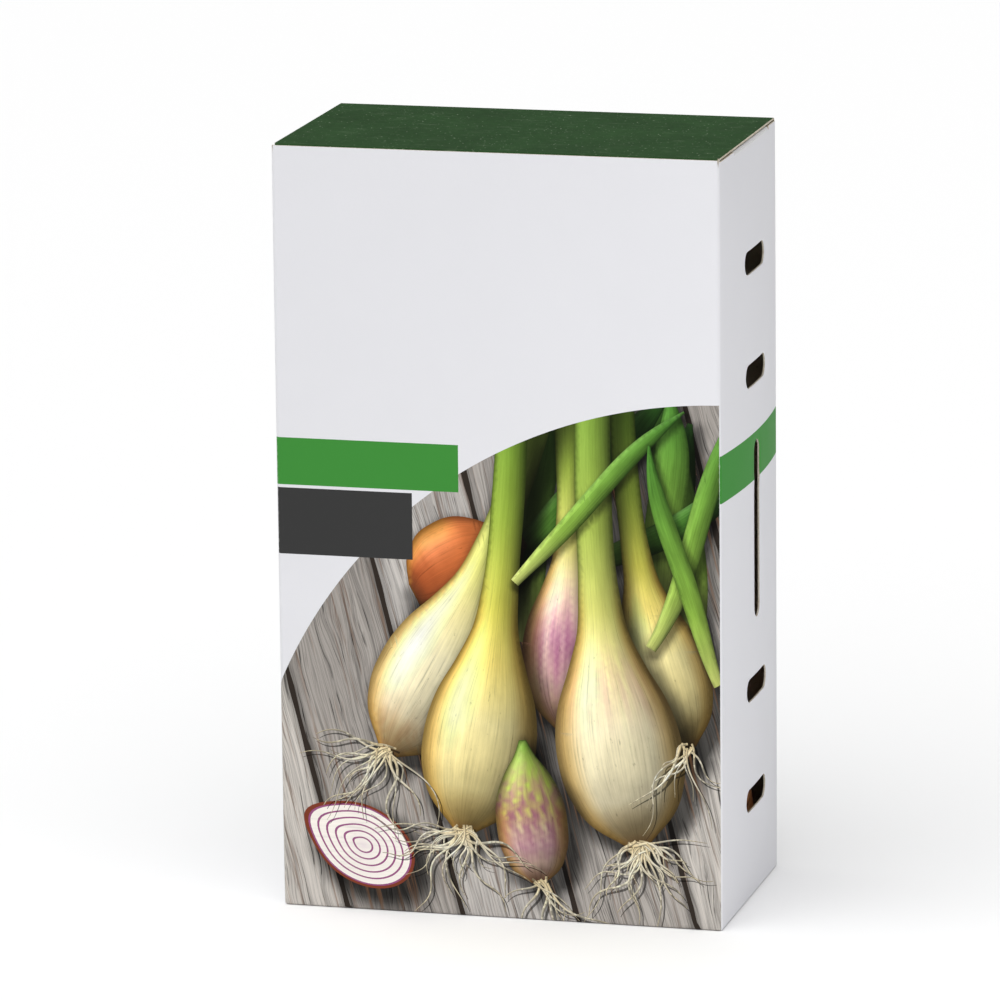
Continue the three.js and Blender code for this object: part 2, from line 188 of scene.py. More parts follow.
class NodeBoard:
    """A node tree that is filled from Python expressions."""

    def __init__(self, tree: bpy.types.NodeTree) -> None:
        """Keeps the tree."""
        self.tree = tree

    @staticmethod
    def socket(sockets: Iterable[bpy.types.NodeSocket], name: str) -> bpy.types.NodeSocket:
        """The socket of that identifier, or else the first usable one of that name."""
        found = [s for s in sockets if s.identifier == name]
        found += [s for s in sockets if s.name == name and s.enabled]
        if not found:
            raise KeyError(f"no socket named {name}: {[s.identifier for s in sockets]}")
        return found[0]

    def node(
        self,
        kind: str,
        settings: Mapping[str, object] | None = None,
        sockets: Mapping[str, object] | None = None,
    ) -> Placed:
        """Places one node.

        Args:
            kind: the node's type.
            settings: its own properties, set first. "curve" fills a float curve with its knots.
            sockets: a value or a Wire for each of its inputs.

        Returns:
            The placed node.
        """
        made = self.tree.nodes.new(kind)
        for name, value in (settings or {}).items():
            if name == "curve":
                self._fill_curve(made.mapping, value)
            else:
                setattr(made, name, value)
        for name, value in (sockets or {}).items():
            target = self.socket(made.inputs, name)
            if isinstance(value, Wire):
                self.tree.links.new(value.socket, target)
            else:
                target.default_value = value
        return Placed(self, made)

    @staticmethod
    def _fill_curve(mapping: bpy.types.CurveMapping, knots: Sequence[tuple[float, float]]) -> None:
        """Gives a float curve its knots."""
        curve = mapping.curves[0]
        for _ in range(len(knots) - len(curve.points)):
            curve.points.new(0.5, 0.5)
        for point, place in zip(curve.points, knots):
            point.location = place
        mapping.update()

    def math(self, operation: str, *terms: "Wire | float") -> Wire:
        """One Math node on up to three terms."""
        made = self.tree.nodes.new("ShaderNodeMath")
        made.operation = operation
        for target, term in zip(made.inputs, terms):
            if isinstance(term, Wire):
                self.tree.links.new(term.socket, target)
            else:
                target.default_value = term
        return Wire(self, made.outputs[0])

    def vector(self, x: "Wire | float", y: "Wire | float", z: "Wire | float") -> Wire:
        """Joins three numbers into a vector."""
        return self.node("ShaderNodeCombineXYZ", None, {"X": x, "Y": y, "Z": z})["Vector"]

    def parts(self, vector: Wire) -> tuple[Wire, Wire, Wire]:
        """A vector's three numbers."""
        made = self.node("ShaderNodeSeparateXYZ", None, {"Vector": vector})
        return made["X"], made["Y"], made["Z"]

    def scaled(self, vector: Wire, x: float, y: float, z: float) -> Wire:
        """A vector with each of its numbers multiplied."""
        sockets = {"Vector": vector, "Vector_001": (x, y, z)}
        return self.node("ShaderNodeVectorMath", {"operation": "MULTIPLY"}, sockets)["Vector"]

    def noise(self, vector: Wire, scale: float, detail: float = 2, roughness: float = 0.5) -> Wire:
        """Soft noise around 0.5."""
        sockets = {"Vector": vector, "Scale": scale, "Detail": detail, "Roughness": roughness}
        return self.node("ShaderNodeTexNoise", None, sockets)["Fac"]

    def grained(self, vector: Wire, x: float, y: float, detail: float = 2, roughness: float = 0.5) -> Wire:
        """Soft noise with a scale of its own along X and along Y."""
        return self.noise(self.scaled(vector, x, y, 1), 1, detail, roughness)

    def attribute(self, name: str, output: str) -> Wire:
        """What the mesh holds under a name, from that output of the Attribute node."""
        return self.node("ShaderNodeAttribute", {"attribute_name": name})[output]

    def blend(self, first: "Wire | Colour", second: "Wire | Colour", share: "Wire | float") -> Wire:
        """Mixes two colours."""
        sockets = {"Factor_Float": share}
        for name, colour in (("A_Color", first), ("B_Color", second)):
            sockets[name] = colour if isinstance(colour, Wire) else (*colour, 1)
        return self.node("ShaderNodeMix", {"data_type": "RGBA"}, sockets)["Result_Color"]

    def dim(self, colour: Wire, factor: Wire) -> Wire:
        """A colour times a number."""
        sockets = {"Vector": colour, "Scale": factor}
        return self.node("ShaderNodeVectorMath", {"operation": "SCALE"}, sockets)["Vector"]

    def relief(self, height: Wire, strength: float, distance: float) -> Wire:
        """A normal from a height, with the distance in millimetres."""
        sockets = {"Height": height, "Strength": strength, "Distance": distance * MM}
        return self.node("ShaderNodeBump", None, sockets)["Normal"]


@dataclass(frozen=True)
class Finish:
    """A surface finish. Each kind says what feeds the shader."""

    name: str

    def surface(self, board: NodeBoard) -> dict[str, object]:
        """The shader's inputs, by socket name."""
        raise NotImplementedError

    def material(self) -> bpy.types.Material:
        """The finish as a material, made once."""
        if self.name in bpy.data.materials:
            return bpy.data.materials[self.name]
        made = bpy.data.materials.new(self.name)
        made.use_nodes = True
        made.node_tree.nodes.clear()
        board = NodeBoard(made.node_tree)
        shader = board.node("ShaderNodeBsdfPrincipled", None, self.surface(board))
        board.node("ShaderNodeOutputMaterial", None, {"Surface": shader["BSDF"]})
        return made

    @staticmethod
    def place(board: NodeBoard) -> Wire:
        """Object coordinates in millimetres."""
        where = board.node("ShaderNodeTexCoord")["Object"]
        return board.scaled(where, 1 / MM, 1 / MM, 1 / MM)


@dataclass(frozen=True)
class PrintedBoard(Finish):
    """White coated board with the print on it, from the sleeve's ink, texture and grain attributes."""

    rust: Colour = shade_of(112, 80, 56)
    paper: Colour = shade_of(232, 231, 228)
    roughness: float = 0.5
    specular: float = 0.035
    crease_wear: float = 0.3

    def surface(self, board: NodeBoard) -> dict[str, object]:
        """Ink with wood, skin and leaf detail, worn pale along the creases."""
        where = self.place(board)
        ink = board.attribute(Sleeve.INK, "Color")
        wood, skin, leaf = board.parts(board.attribute(Sleeve.TEXTURE, "Color"))
        grain = board.node("ShaderNodeUVMap", {"uv_map": Sleeve.GRAIN})["UV"]
        rusty = board.grained(grain, 0.025, 0.75, 4, 0.65).rising(0.54, 0.66) * wood * 0.6
        colour = board.blend(ink, pigment(self.rust), rusty)
        colour = board.dim(colour, self.wood_tone(board, grain, wood))
        colour = board.dim(colour, self.skin_tone(board, grain, skin))
        colour = board.dim(colour, self.leaf_tone(board, grain, leaf))
        crease = board.attribute(Sleeve.WEAR, "Fac")
        worn = (crease * board.noise(where, 0.9, 4, 0.7) * 2).rising(0.75, 1.25) * self.crease_wear
        colour = board.blend(colour, pigment(self.paper), worn)
        mottle = board.noise(where, 0.05, 3)
        colour = board.dim(colour, 0.985 + mottle * 0.03)
        fibre = board.noise(where, 2.2, 3, 0.6)
        wave = board.noise(where, 0.06, 1)
        return {
            "Base Color": colour,
            "Roughness": self.roughness - 0.05 + fibre * 0.1 + worn * 0.25,
            "Specular IOR Level": self.specular,
            "Normal": board.relief(fibre * 0.012 + wave * 0.35, 0.8, 1),
        }

    @staticmethod
    def wood_tone(board: NodeBoard, grain: Wire, amount: Wire) -> Wire:
        """Weathered grain: fine dark lines, pale ridges, and broad bands along the plank."""
        wander = board.grained(grain, 0.03, 0.12)
        along, across, _ = board.parts(grain)
        bent = board.vector(along * 0.03, across + wander * 6, 0)
        lines = board.grained(bent, 1, 1.9, 6, 0.72)
        bands = board.grained(bent, 0.5, 0.32)
        cracks = board.grained(bent, 1.5, 1.2, 4, 0.6).falling(0.37, 0.415)
        tone = 0.6 + lines.rising(0.36, 0.6) * 0.54 + (bands - 0.5) * 0.8 - cracks * 0.5
        return tone.shown(amount)

    @staticmethod
    def skin_tone(board: NodeBoard, grain: Wire, amount: Wire) -> Wire:
        """Fine ribs that run from the root to the neck, with soft blotches."""
        ribs = board.grained(grain, 0.05, 1.5, 5, 0.65)
        blotch = board.grained(grain, 0.11, 0.16, 4, 0.6)
        spots = board.grained(grain, 0.35, 0.8, 3, 0.6).rising(0.64, 0.74)
        tone = 1.02 + (ribs - 0.5) * 0.75 + (blotch - 0.5) * 0.55
        tone = tone - ribs.falling(0.3, 0.42) * 0.22 - spots * 0.3
        return tone.shown(amount)

    @staticmethod
    def leaf_tone(board: NodeBoard, grain: Wire, amount: Wire) -> Wire:
        """Parallel veins and a little dapple."""
        veins = board.grained(grain, 0.02, 2.6, 3, 0.6)
        dapple = board.grained(grain, 0.12, 0.5, 3)
        tone = 1 + (veins - 0.5) * 0.9 + (dapple - 0.5) * 0.9
        return tone.shown(amount)


@dataclass(frozen=True)
class SolidPrint(Finish):
    """Board printed all over in one colour, with dust specks, scuffs and cloudy ink."""

    ink: Colour = shade_of(40, 70, 36)
    speck: Colour = shade_of(160, 175, 150)
    roughness: float = 0.5
    specular: float = 0.04

    def surface(self, board: NodeBoard) -> dict[str, object]:
        """Cloudy ink, with pale dust and streaky scuffs."""
        where = self.place(board)
        cloud = board.noise(where, 0.07, 4, 0.6)
        mottle = board.noise(where, 0.55, 3, 0.6)
        colour = board.node("ShaderNodeRGB")["Color"]
        colour.socket.default_value = (*pigment(self.ink), 1)
        colour = board.dim(colour, 0.42 + cloud * 0.62 + mottle * 0.58)
        dust = board.noise(where, 1.3, 1).rising(0.68, 0.76)
        scuff = board.grained(where, 0.14, 0.9, 4, 0.7).rising(0.55, 0.76)
        pale = dust * 0.6 + scuff * 0.26
        colour = board.blend(colour, pigment(self.speck), pale)
        fibre = board.noise(where, 2.2, 3, 0.6)
        wave = board.noise(where, 0.05, 1)
        return {
            "Base Color": colour,
            "Roughness": self.roughness + scuff * 0.15 + (fibre - 0.5) * 0.08,
            "Specular IOR Level": self.specular,
            "Normal": board.relief(fibre * 0.012 + wave * 0.4, 0.8, 1),
        }


@dataclass(frozen=True)
class PlainBoard(Finish):
    """An unprinted side of the board: fibrous, with flecks."""

    tone: Colour = shade_of(196, 186, 168)
    fleck: Colour = shade_of(120, 104, 86)
    flecks: float = 0.35
    roughness: float = 0.85
    relief: float = 0.03

    def surface(self, board: NodeBoard) -> dict[str, object]:
        """Pulp fibres, darker flecks and soft clouds."""
        where = self.place(board)
        fibre = board.noise(board.scaled(where, 1, 1, 0.35), 2.6, 4, 0.65)
        cloud = board.noise(where, 0.12, 3)
        tone = pigment(self.tone)
        pale = board.blend(tuple(0.86 * t for t in tone), tuple(min(1, 1.12 * t) for t in tone), fibre)
        spots = board.noise(where, 1.1, 2).rising(0.66, 0.74) * self.flecks
        colour = board.blend(pale, pigment(self.fleck), spots)
        return {
            "Base Color": board.dim(colour, 0.93 + cloud * 0.14),
            "Roughness": self.roughness,
            "Normal": board.relief(fibre * self.relief, 0.9, 1),
        }


@dataclass(frozen=True)
class CutEdge(Finish):
    """The raw edge where a die has cut the board: plies and torn fibres."""

    tone: Colour = shade_of(226, 219, 204)
    dark: Colour = shade_of(190, 178, 156)

    def surface(self, board: NodeBoard) -> dict[str, object]:
        """Thin plies, crossed by torn fibres."""
        where = self.place(board)
        torn = board.noise(where, 3.4, 4, 0.7)
        along = board.noise(where, 0.7, 2)
        share = (torn * 0.8 + along * 0.4).rising(0.45, 0.8)
        colour = board.blend(pigment(self.dark), pigment(self.tone), share)
        return {"Base Color": colour, "Roughness": 0.9, "Normal": board.relief(torn * 0.08, 1, 1)}


@dataclass(frozen=True)
class ShallotSkin(Finish):
    """Dry, ribbed, papery skin, torn away in places over a smoother purplish layer."""

    paper: Colour = shade_of(186, 114, 62)
    rib: Colour = shade_of(104, 52, 30)
    under: Colour = shade_of(150, 80, 92)
    straw: Colour = shade_of(224, 186, 130)

    def surface(self, board: NodeBoard) -> dict[str, object]:
        """Ribs along the bulb, a pale neck and root plate, and torn patches."""
        body = board.attribute(ShallotFill.BODY, "Vector")
        share = board.attribute(ShallotFill.SHARE, "Fac")
        fine = board.noise(board.scaled(body, 1, 0.05, 1), 1.15, 3, 0.6)
        wide = board.noise(board.scaled(body, 1, 0.09, 1), 0.33, 2)
        blotch = board.noise(body, 0.13, 4, 0.6)
        each = board.noise(body, 0.008, 0).rising(0.3, 0.7)
        torn = (board.noise(board.scaled(body, 1, 0.45, 1), 0.1, 4, 0.6) + fine * 0.12).rising(0.6, 0.615)
        lines = fine.falling(0.34, 0.52) * 0.8 + wide.falling(0.36, 0.46) * 0.35
        straw = pigment(self.straw)
        paper = board.blend(straw, pigment(self.paper), 0.45 + each * 0.5)
        paper = board.blend(paper, straw, blotch.rising(0.52, 0.72) * 0.55)
        paper = board.blend(paper, pigment(self.rib), lines * (0.55 + each * 0.35))
        under = board.blend(pigment(self.under), straw, fine.rising(0.42, 0.72) * 0.7)
        colour = board.blend(paper, under, torn)
        ends = share.falling(0.02, 0.09) * 0.6 + share.rising(0.74, 0.95) * 0.5
        colour = board.blend(colour, straw, ends)
        height = fine * 0.16 + wide * 0.2 + blotch * 0.1 - torn * 0.14
        return {
            "Base Color": board.dim(colour, 0.8 + blotch * 0.4),
            "Roughness": 0.46 - torn * 0.14 + fine * 0.12,
            "Normal": board.relief(height, 1, 1),
        }


@dataclass(frozen=True)
class DryRoot(Finish):
    """Dried root fibres."""

    tone: Colour = shade_of(206, 178, 130)
    dark: Colour = shade_of(120, 88, 54)

    def surface(self, board: NodeBoard) -> dict[str, object]:
        """Straw with darker kinks."""
        kinks = board.noise(self.place(board), 1.4, 3)
        colour = board.blend(pigment(self.dark), pigment(self.tone), kinks.rising(0.3, 0.6))
        return {"Base Color": colour, "Roughness": 0.8}


@dataclass(frozen=True)
class StudioWhite(Finish):
    """The pale floor under the carton."""

    tone: float = 0.93

    def surface(self, board: NodeBoard) -> dict[str, object]:
        """Even matt white."""
        return {"Base Color": (self.tone, self.tone, self.tone, 1), "Roughness": 0.9}


PRINTED = PrintedBoard("print_finish")
GREEN = SolidPrint("green_finish")
COATED = PlainBoard("coated_finish", shade_of(226, 226, 226), shade_of(205, 205, 205), 0.2, 0.5, 0.012)
INNER = PlainBoard("inner_finish")
EDGE = CutEdge("cut_edge_finish")
SKIN = ShallotSkin("skin_finish")
ROOT = DryRoot("root_finish")
FLOOR = StudioWhite("floor_finish")


class Body(str, Enum):
    """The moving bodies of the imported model."""

    CARTON = "carton"
    LID = "lid"
    TONGUE = "tongue"
    LEFT_FLAP = "left_dust_flap"
    RIGHT_FLAP = "right_dust_flap"


class Side(IntEnum):
    """Left or right of the carton, as a factor on X."""

    LEFT = -1
    RIGHT = 1

    @property
    def word(self) -> str:
        """The side's name."""
        return self.name.lower()


def link_object(name: str, data: bpy.types.ID) -> bpy.types.Object:
    """Makes an object at the origin and puts it in the scene."""
    made = bpy.data.objects.new(name, data)
    bpy.context.scene.collection.objects.link(made)
    return made


def lone_edges(edges: Iterable[tuple[int, int]]) -> list[tuple[int, int]]:
    """The edges that are given in one direction only, in order."""
    there = set(edges)
    return sorted((a, b) for a, b in there if (b, a) not in there)


def make_piece(
    name: str,
    points: np.ndarray,
    faces: Sequence[Sequence[int]],
    finishes: Sequence[Finish],
    slots: Sequence[int] | None = None,
) -> bpy.types.Object:
    """Makes a mesh object at the origin.

    Args:
        name: the piece's name.
        points: its vertices in millimetres.
        faces: the vertex numbers of each face.
        finishes: its finishes, one for each material slot.
        slots: the slot of each face; all in the first one if left out.

    Returns:
        The object, in the scene.
    """
    mesh = bpy.data.meshes.new(name)
    mesh.from_pydata((np.asarray(points, float) * MM).tolist(), [], [list(f) for f in faces])
    for finish in finishes:
        mesh.materials.append(finish.material())
    if slots is not None:
        mesh.polygons.foreach_set("material_index", np.asarray(slots, np.int32))
    mesh.shade_smooth()
    mesh.set_sharp_from_angle(angle=SHARP_FROM)
    return link_object(name, mesh)


@dataclass(frozen=True)
class CartonForm:
    """The folded carton's sizes, and where a spot on its unfolded sleeve comes to lie."""

    width: float
    depth: float
    height: float
    board: float = 0.46
    slack: float = 0.3
    crease_radius: float = 0.9
    foot_radius: float = 0.52
    side_bow: float = 1.7
    bow_flatness: int = 6

    @classmethod
    def from_frame(cls) -> "CartonForm":
        """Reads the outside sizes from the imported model."""
        low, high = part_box("sleeve")
        width = (high.x - low.x) / MM - 2 * cls.side_bow
        return cls(width, (high.y - low.y) / MM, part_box("top_lid")[1].z / MM)

    @property
    def half_front(self) -> float:
        """From the front's centre to where its crease starts to turn."""
        return self.width / 2 - self.crease_radius

    @property
    def turn(self) -> float:
        """Length of board round one crease."""
        return self.crease_radius * math.pi / 2

    @property
    def side_start(self) -> float:
        """Where the flat of a side panel starts, along the board from the front's centre."""
        return self.half_front + self.turn

    @property
    def side_end(self) -> float:
        """Where the flat of a side panel ends."""
        return self.side_start + self.depth - 2 * self.crease_radius

    @property
    def half_round(self) -> float:
        """From the front's centre to the back's, along the board."""
        return self.side_end + self.turn + self.half_front

    @property
    def front_top(self) -> float:
        """Height of the front panel's cut edge."""
        return self.height - 0.2

    @property
    def shoulder_top(self) -> float:
        """Height of the cut edges of the side panels and the back."""
        return self.height - self.board - self.slack

    @property
    def lid_middle(self) -> float:
        """Height of the middle of the closed lid's board."""
        return self.height - self.board / 2

    @property
    def dust_flap_middle(self) -> float:
        """Height of the middle of a closed dust flap's board."""
        return self.shoulder_top - self.board / 2

    @property
    def crease_gap(self) -> float:
        """From a crease's axis to where the boards on both sides of it begin."""
        return self.board / 2 + self.slack

    def along_side(self, y: float) -> float:
        """Place along the board of a spot on the side panel at that y."""
        return self.side_start + y + self.depth / 2 - self.crease_radius

    def outline(self, along: np.ndarray) -> tuple[np.ndarray, np.ndarray]:
        """Outer outline in plan.

        Args:
            along: places along the board from the front's centre, positive to the right.

        Returns:
            The points and the outward normals, in X and Y.
        """
        radius, far = self.crease_radius, self.depth / 2 - self.crease_radius
        t = np.abs(along)
        first = np.clip((t - self.half_front) / radius, 0, math.pi / 2)
        second = np.clip((t - self.side_end) / radius, 0, math.pi / 2)
        angle = first + second
        x = np.minimum(t, self.half_front) - np.maximum(0, t - self.side_end - self.turn)
        y = np.clip(t - self.side_start, 0, 2 * far) - far
        normal = np.stack([np.sin(angle) * np.where(along < 0, -1, 1), -np.cos(angle)], -1)
        points = np.stack([x * np.where(along < 0, -1, 1), y], -1) + radius * normal
        return points, normal

    def bowed(self, points: np.ndarray) -> np.ndarray:
        """Pushes the side panels out between the carton's two ends."""
        across = 1 - (2 * points[:, 1] / self.depth) ** 2
        upward = 1 - np.abs(2 * points[:, 2] / self.height - 1) ** self.bow_flatness
        moved = points.copy()
        moved[:, 0] *= 1 + across * upward * self.side_bow / (self.width / 2)
        return moved

    def wrap(self, flat: np.ndarray, inset: float | np.ndarray = 0.0) -> np.ndarray:
        """Folds spots of the flat sleeve into place.

        Args:
            flat: places along and up the board.
            inset: how far under the outer face they lie.

        Returns:
            The points in space.
        """
        points, normal = self.outline(flat[:, 0])
        foot = self.foot_radius
        lean = np.clip(1 - flat[:, 1] / foot, 0, 1) * math.pi / 2
        inward = foot - (foot - inset) * np.cos(lean)
        z = np.where(flat[:, 1] < foot, foot - (foot - inset) * np.sin(lean), flat[:, 1])
        plan = points - normal * inward[:, None]
        return self.bowed(np.column_stack([plan, z]))


@dataclass
class FlatDrawing:
    """Points, lines and outlines on the unfolded sleeve, which become one net of triangles."""

    points: list[tuple[float, float]] = field(default_factory=list)
    lines: list[tuple[int, int]] = field(default_factory=list)
    tolerance: float = 1e-4

    def add_points(self, places: np.ndarray) -> list[int]:
        """Adds loose points and returns their numbers."""
        first = len(self.points)
        self.points += [(float(x), float(y)) for x, y in places]
        return list(range(first, len(self.points)))

    def add_line(self, places: np.ndarray) -> None:
        """Adds an open line that the triangles keep to."""
        numbers = self.add_points(places)
        self.lines += list(zip(numbers[:-1], numbers[1:]))

    def add_loop(self, outline: np.ndarray) -> None:
        """Adds a closed outline that the triangles keep to."""
        numbers = self.add_points(outline)
        self.lines += list(zip(numbers, numbers[1:] + numbers[:1]))

    def triangulate(self) -> tuple[np.ndarray, np.ndarray]:
        """Joins everything up, and returns the vertices and the triangles."""
        found = delaunay_2d_cdt([Vector(p) for p in self.points], self.lines, [], 0, self.tolerance, False)
        return np.array([v[:] for v in found[0]]), np.array(found[2])

    @staticmethod
    def inside(outline: np.ndarray, spots: np.ndarray) -> np.ndarray:
        """Which spots an outline runs round, counted by its turns.

        Args:
            outline: a closed outline, which may cross itself.
            spots: the spots to test.

        Returns:
            True for each spot inside.
        """
        result = np.zeros(len(spots), bool)
        low, high = outline.min(0), outline.max(0)
        near = np.where(((spots >= low) & (spots <= high)).all(1))[0]
        x, y = spots[near].T
        turns = np.zeros(len(near), int)
        for (x0, y0), (x1, y1) in zip(outline, np.roll(outline, -1, axis=0)):
            side = (x1 - x0) * (y - y0) - (x - x0) * (y1 - y0)
            turns += ((y0 <= y) & (y1 > y) & (side > 0)).astype(int)
            turns -= ((y0 > y) & (y1 <= y) & (side < 0)).astype(int)
        result[near] = turns != 0
        return result


@dataclass
class Painted:
    """What a motif puts on some spots: display colour, grain coordinates and texture amounts."""

    colour: np.ndarray
    grain: np.ndarray
    texture: np.ndarray

    @classmethod
    def flat(cls, points: np.ndarray, colour: Colour) -> "Painted":
        """One colour with no texture."""
        count = len(points)
        return cls(np.tile(colour, (count, 1)), points.copy(), np.zeros((count, 3)))


class Texture(Enum):
    """How much wood, skin and leaf detail the printed board's finish draws."""

    NONE = (0.0, 0.0, 0.0)
    WOOD = (1.0, 0.0, 0.0)
    SKIN = (0.0, 1.0, 0.0)
    LEAF = (0.0, 0.0, 1.0)
    STALK = (0.0, 0.45, 0.4)
    FIBRE = (0.0, 0.6, 0.0)


LIGHT = np.array([-0.48, 0.52, 0.71])  # towards the light inside the printed picture
UNLIT = 0.47  # brightness of a printed form that faces away from the light
LIT_GAIN = 0.62  # what facing the light adds to it
RIM_DARK = 0.34
THIN_RIM_DARK = 0.1
THIN_BELOW = 1.0  # half width in millimetres


class Motif:
    """Something in the printed picture, which is painted from back to front."""

    def shadow(self, points: np.ndarray) -> np.ndarray | None:
        """How dark it makes what lies under it, from 0 to 1, or None if it throws no shadow."""
        return None


@dataclass(frozen=True)
class Patch(Motif):
    """An area in one flat colour."""

    outline: np.ndarray
    colour: Colour

    def paint(self, points: np.ndarray) -> Painted:
        """The flat colour."""
        return Painted.flat(points, self.colour)


@dataclass(frozen=True)
class Planks(Motif):
    """Weathered boards that fill the picture's ground."""

    outline: np.ndarray
    heading: float = 104.0
    plank: float = 27.0
    offset: float = 9.0
    gap: float = 0.45
    gap_spread: float = 0.3
    gap_colour: Colour = shade_of(52, 45, 40)
    gap_steps: int = 90
    tones: tuple[Colour, ...] = (
        shade_of(188, 183, 178), shade_of(170, 164, 158), shade_of(196, 190, 183), shade_of(162, 156, 150),
    )

    @property
    def axes(self) -> tuple[np.ndarray, np.ndarray]:
        """Directions along and across the boards."""
        turn = math.radians(self.heading)
        return np.array([math.cos(turn), math.sin(turn)]), np.array([math.sin(turn), -math.cos(turn)])

    def paint(self, points: np.ndarray) -> Painted:
        """Each board in a tone of its own, darker towards its sides."""
        along, across = self.axes
        side = points @ across + self.offset
        number = np.floor(side / self.plank).astype(int)
        within = side / self.plank - number
        colour = np.array(self.tones)[number % len(self.tones)]
        dark = 0.72 + 0.28 * smooth_step(0.0, 0.1, within) * smooth_step(1.0, 0.93, within)
        grain = np.column_stack([points @ along + 63 * number, side + 17 * number])
        return Painted(colour * dark[:, None], grain, np.tile(Texture.WOOD.value, (len(points), 1)))

    def gaps(self, reach: float, rng: np.random.Generator) -> list[Patch]:
        """The dark gaps between boards, slightly uneven.

        Args:
            reach: how far they run each way from the middle.
            rng: the source of their unevenness.

        Returns:
            One area for each gap.
        """
        along, across = self.axes
        made = []
        lengths = np.linspace(-reach, reach, self.gap_steps)
        for number in range(-6, 7):
            middle = number * self.plank - self.offset
            wobble = np.cumsum(rng.normal(0, 0.05, len(lengths)))
            half = self.gap + self.gap_spread * rng.random(len(lengths))
            left = lengths[:, None] * along + (middle + wobble - half)[:, None] * across
            right = lengths[:, None] * along + (middle + wobble + half)[:, None] * across
            made.append(Patch(np.vstack([left, right[::-1]]), self.gap_colour))
        return made


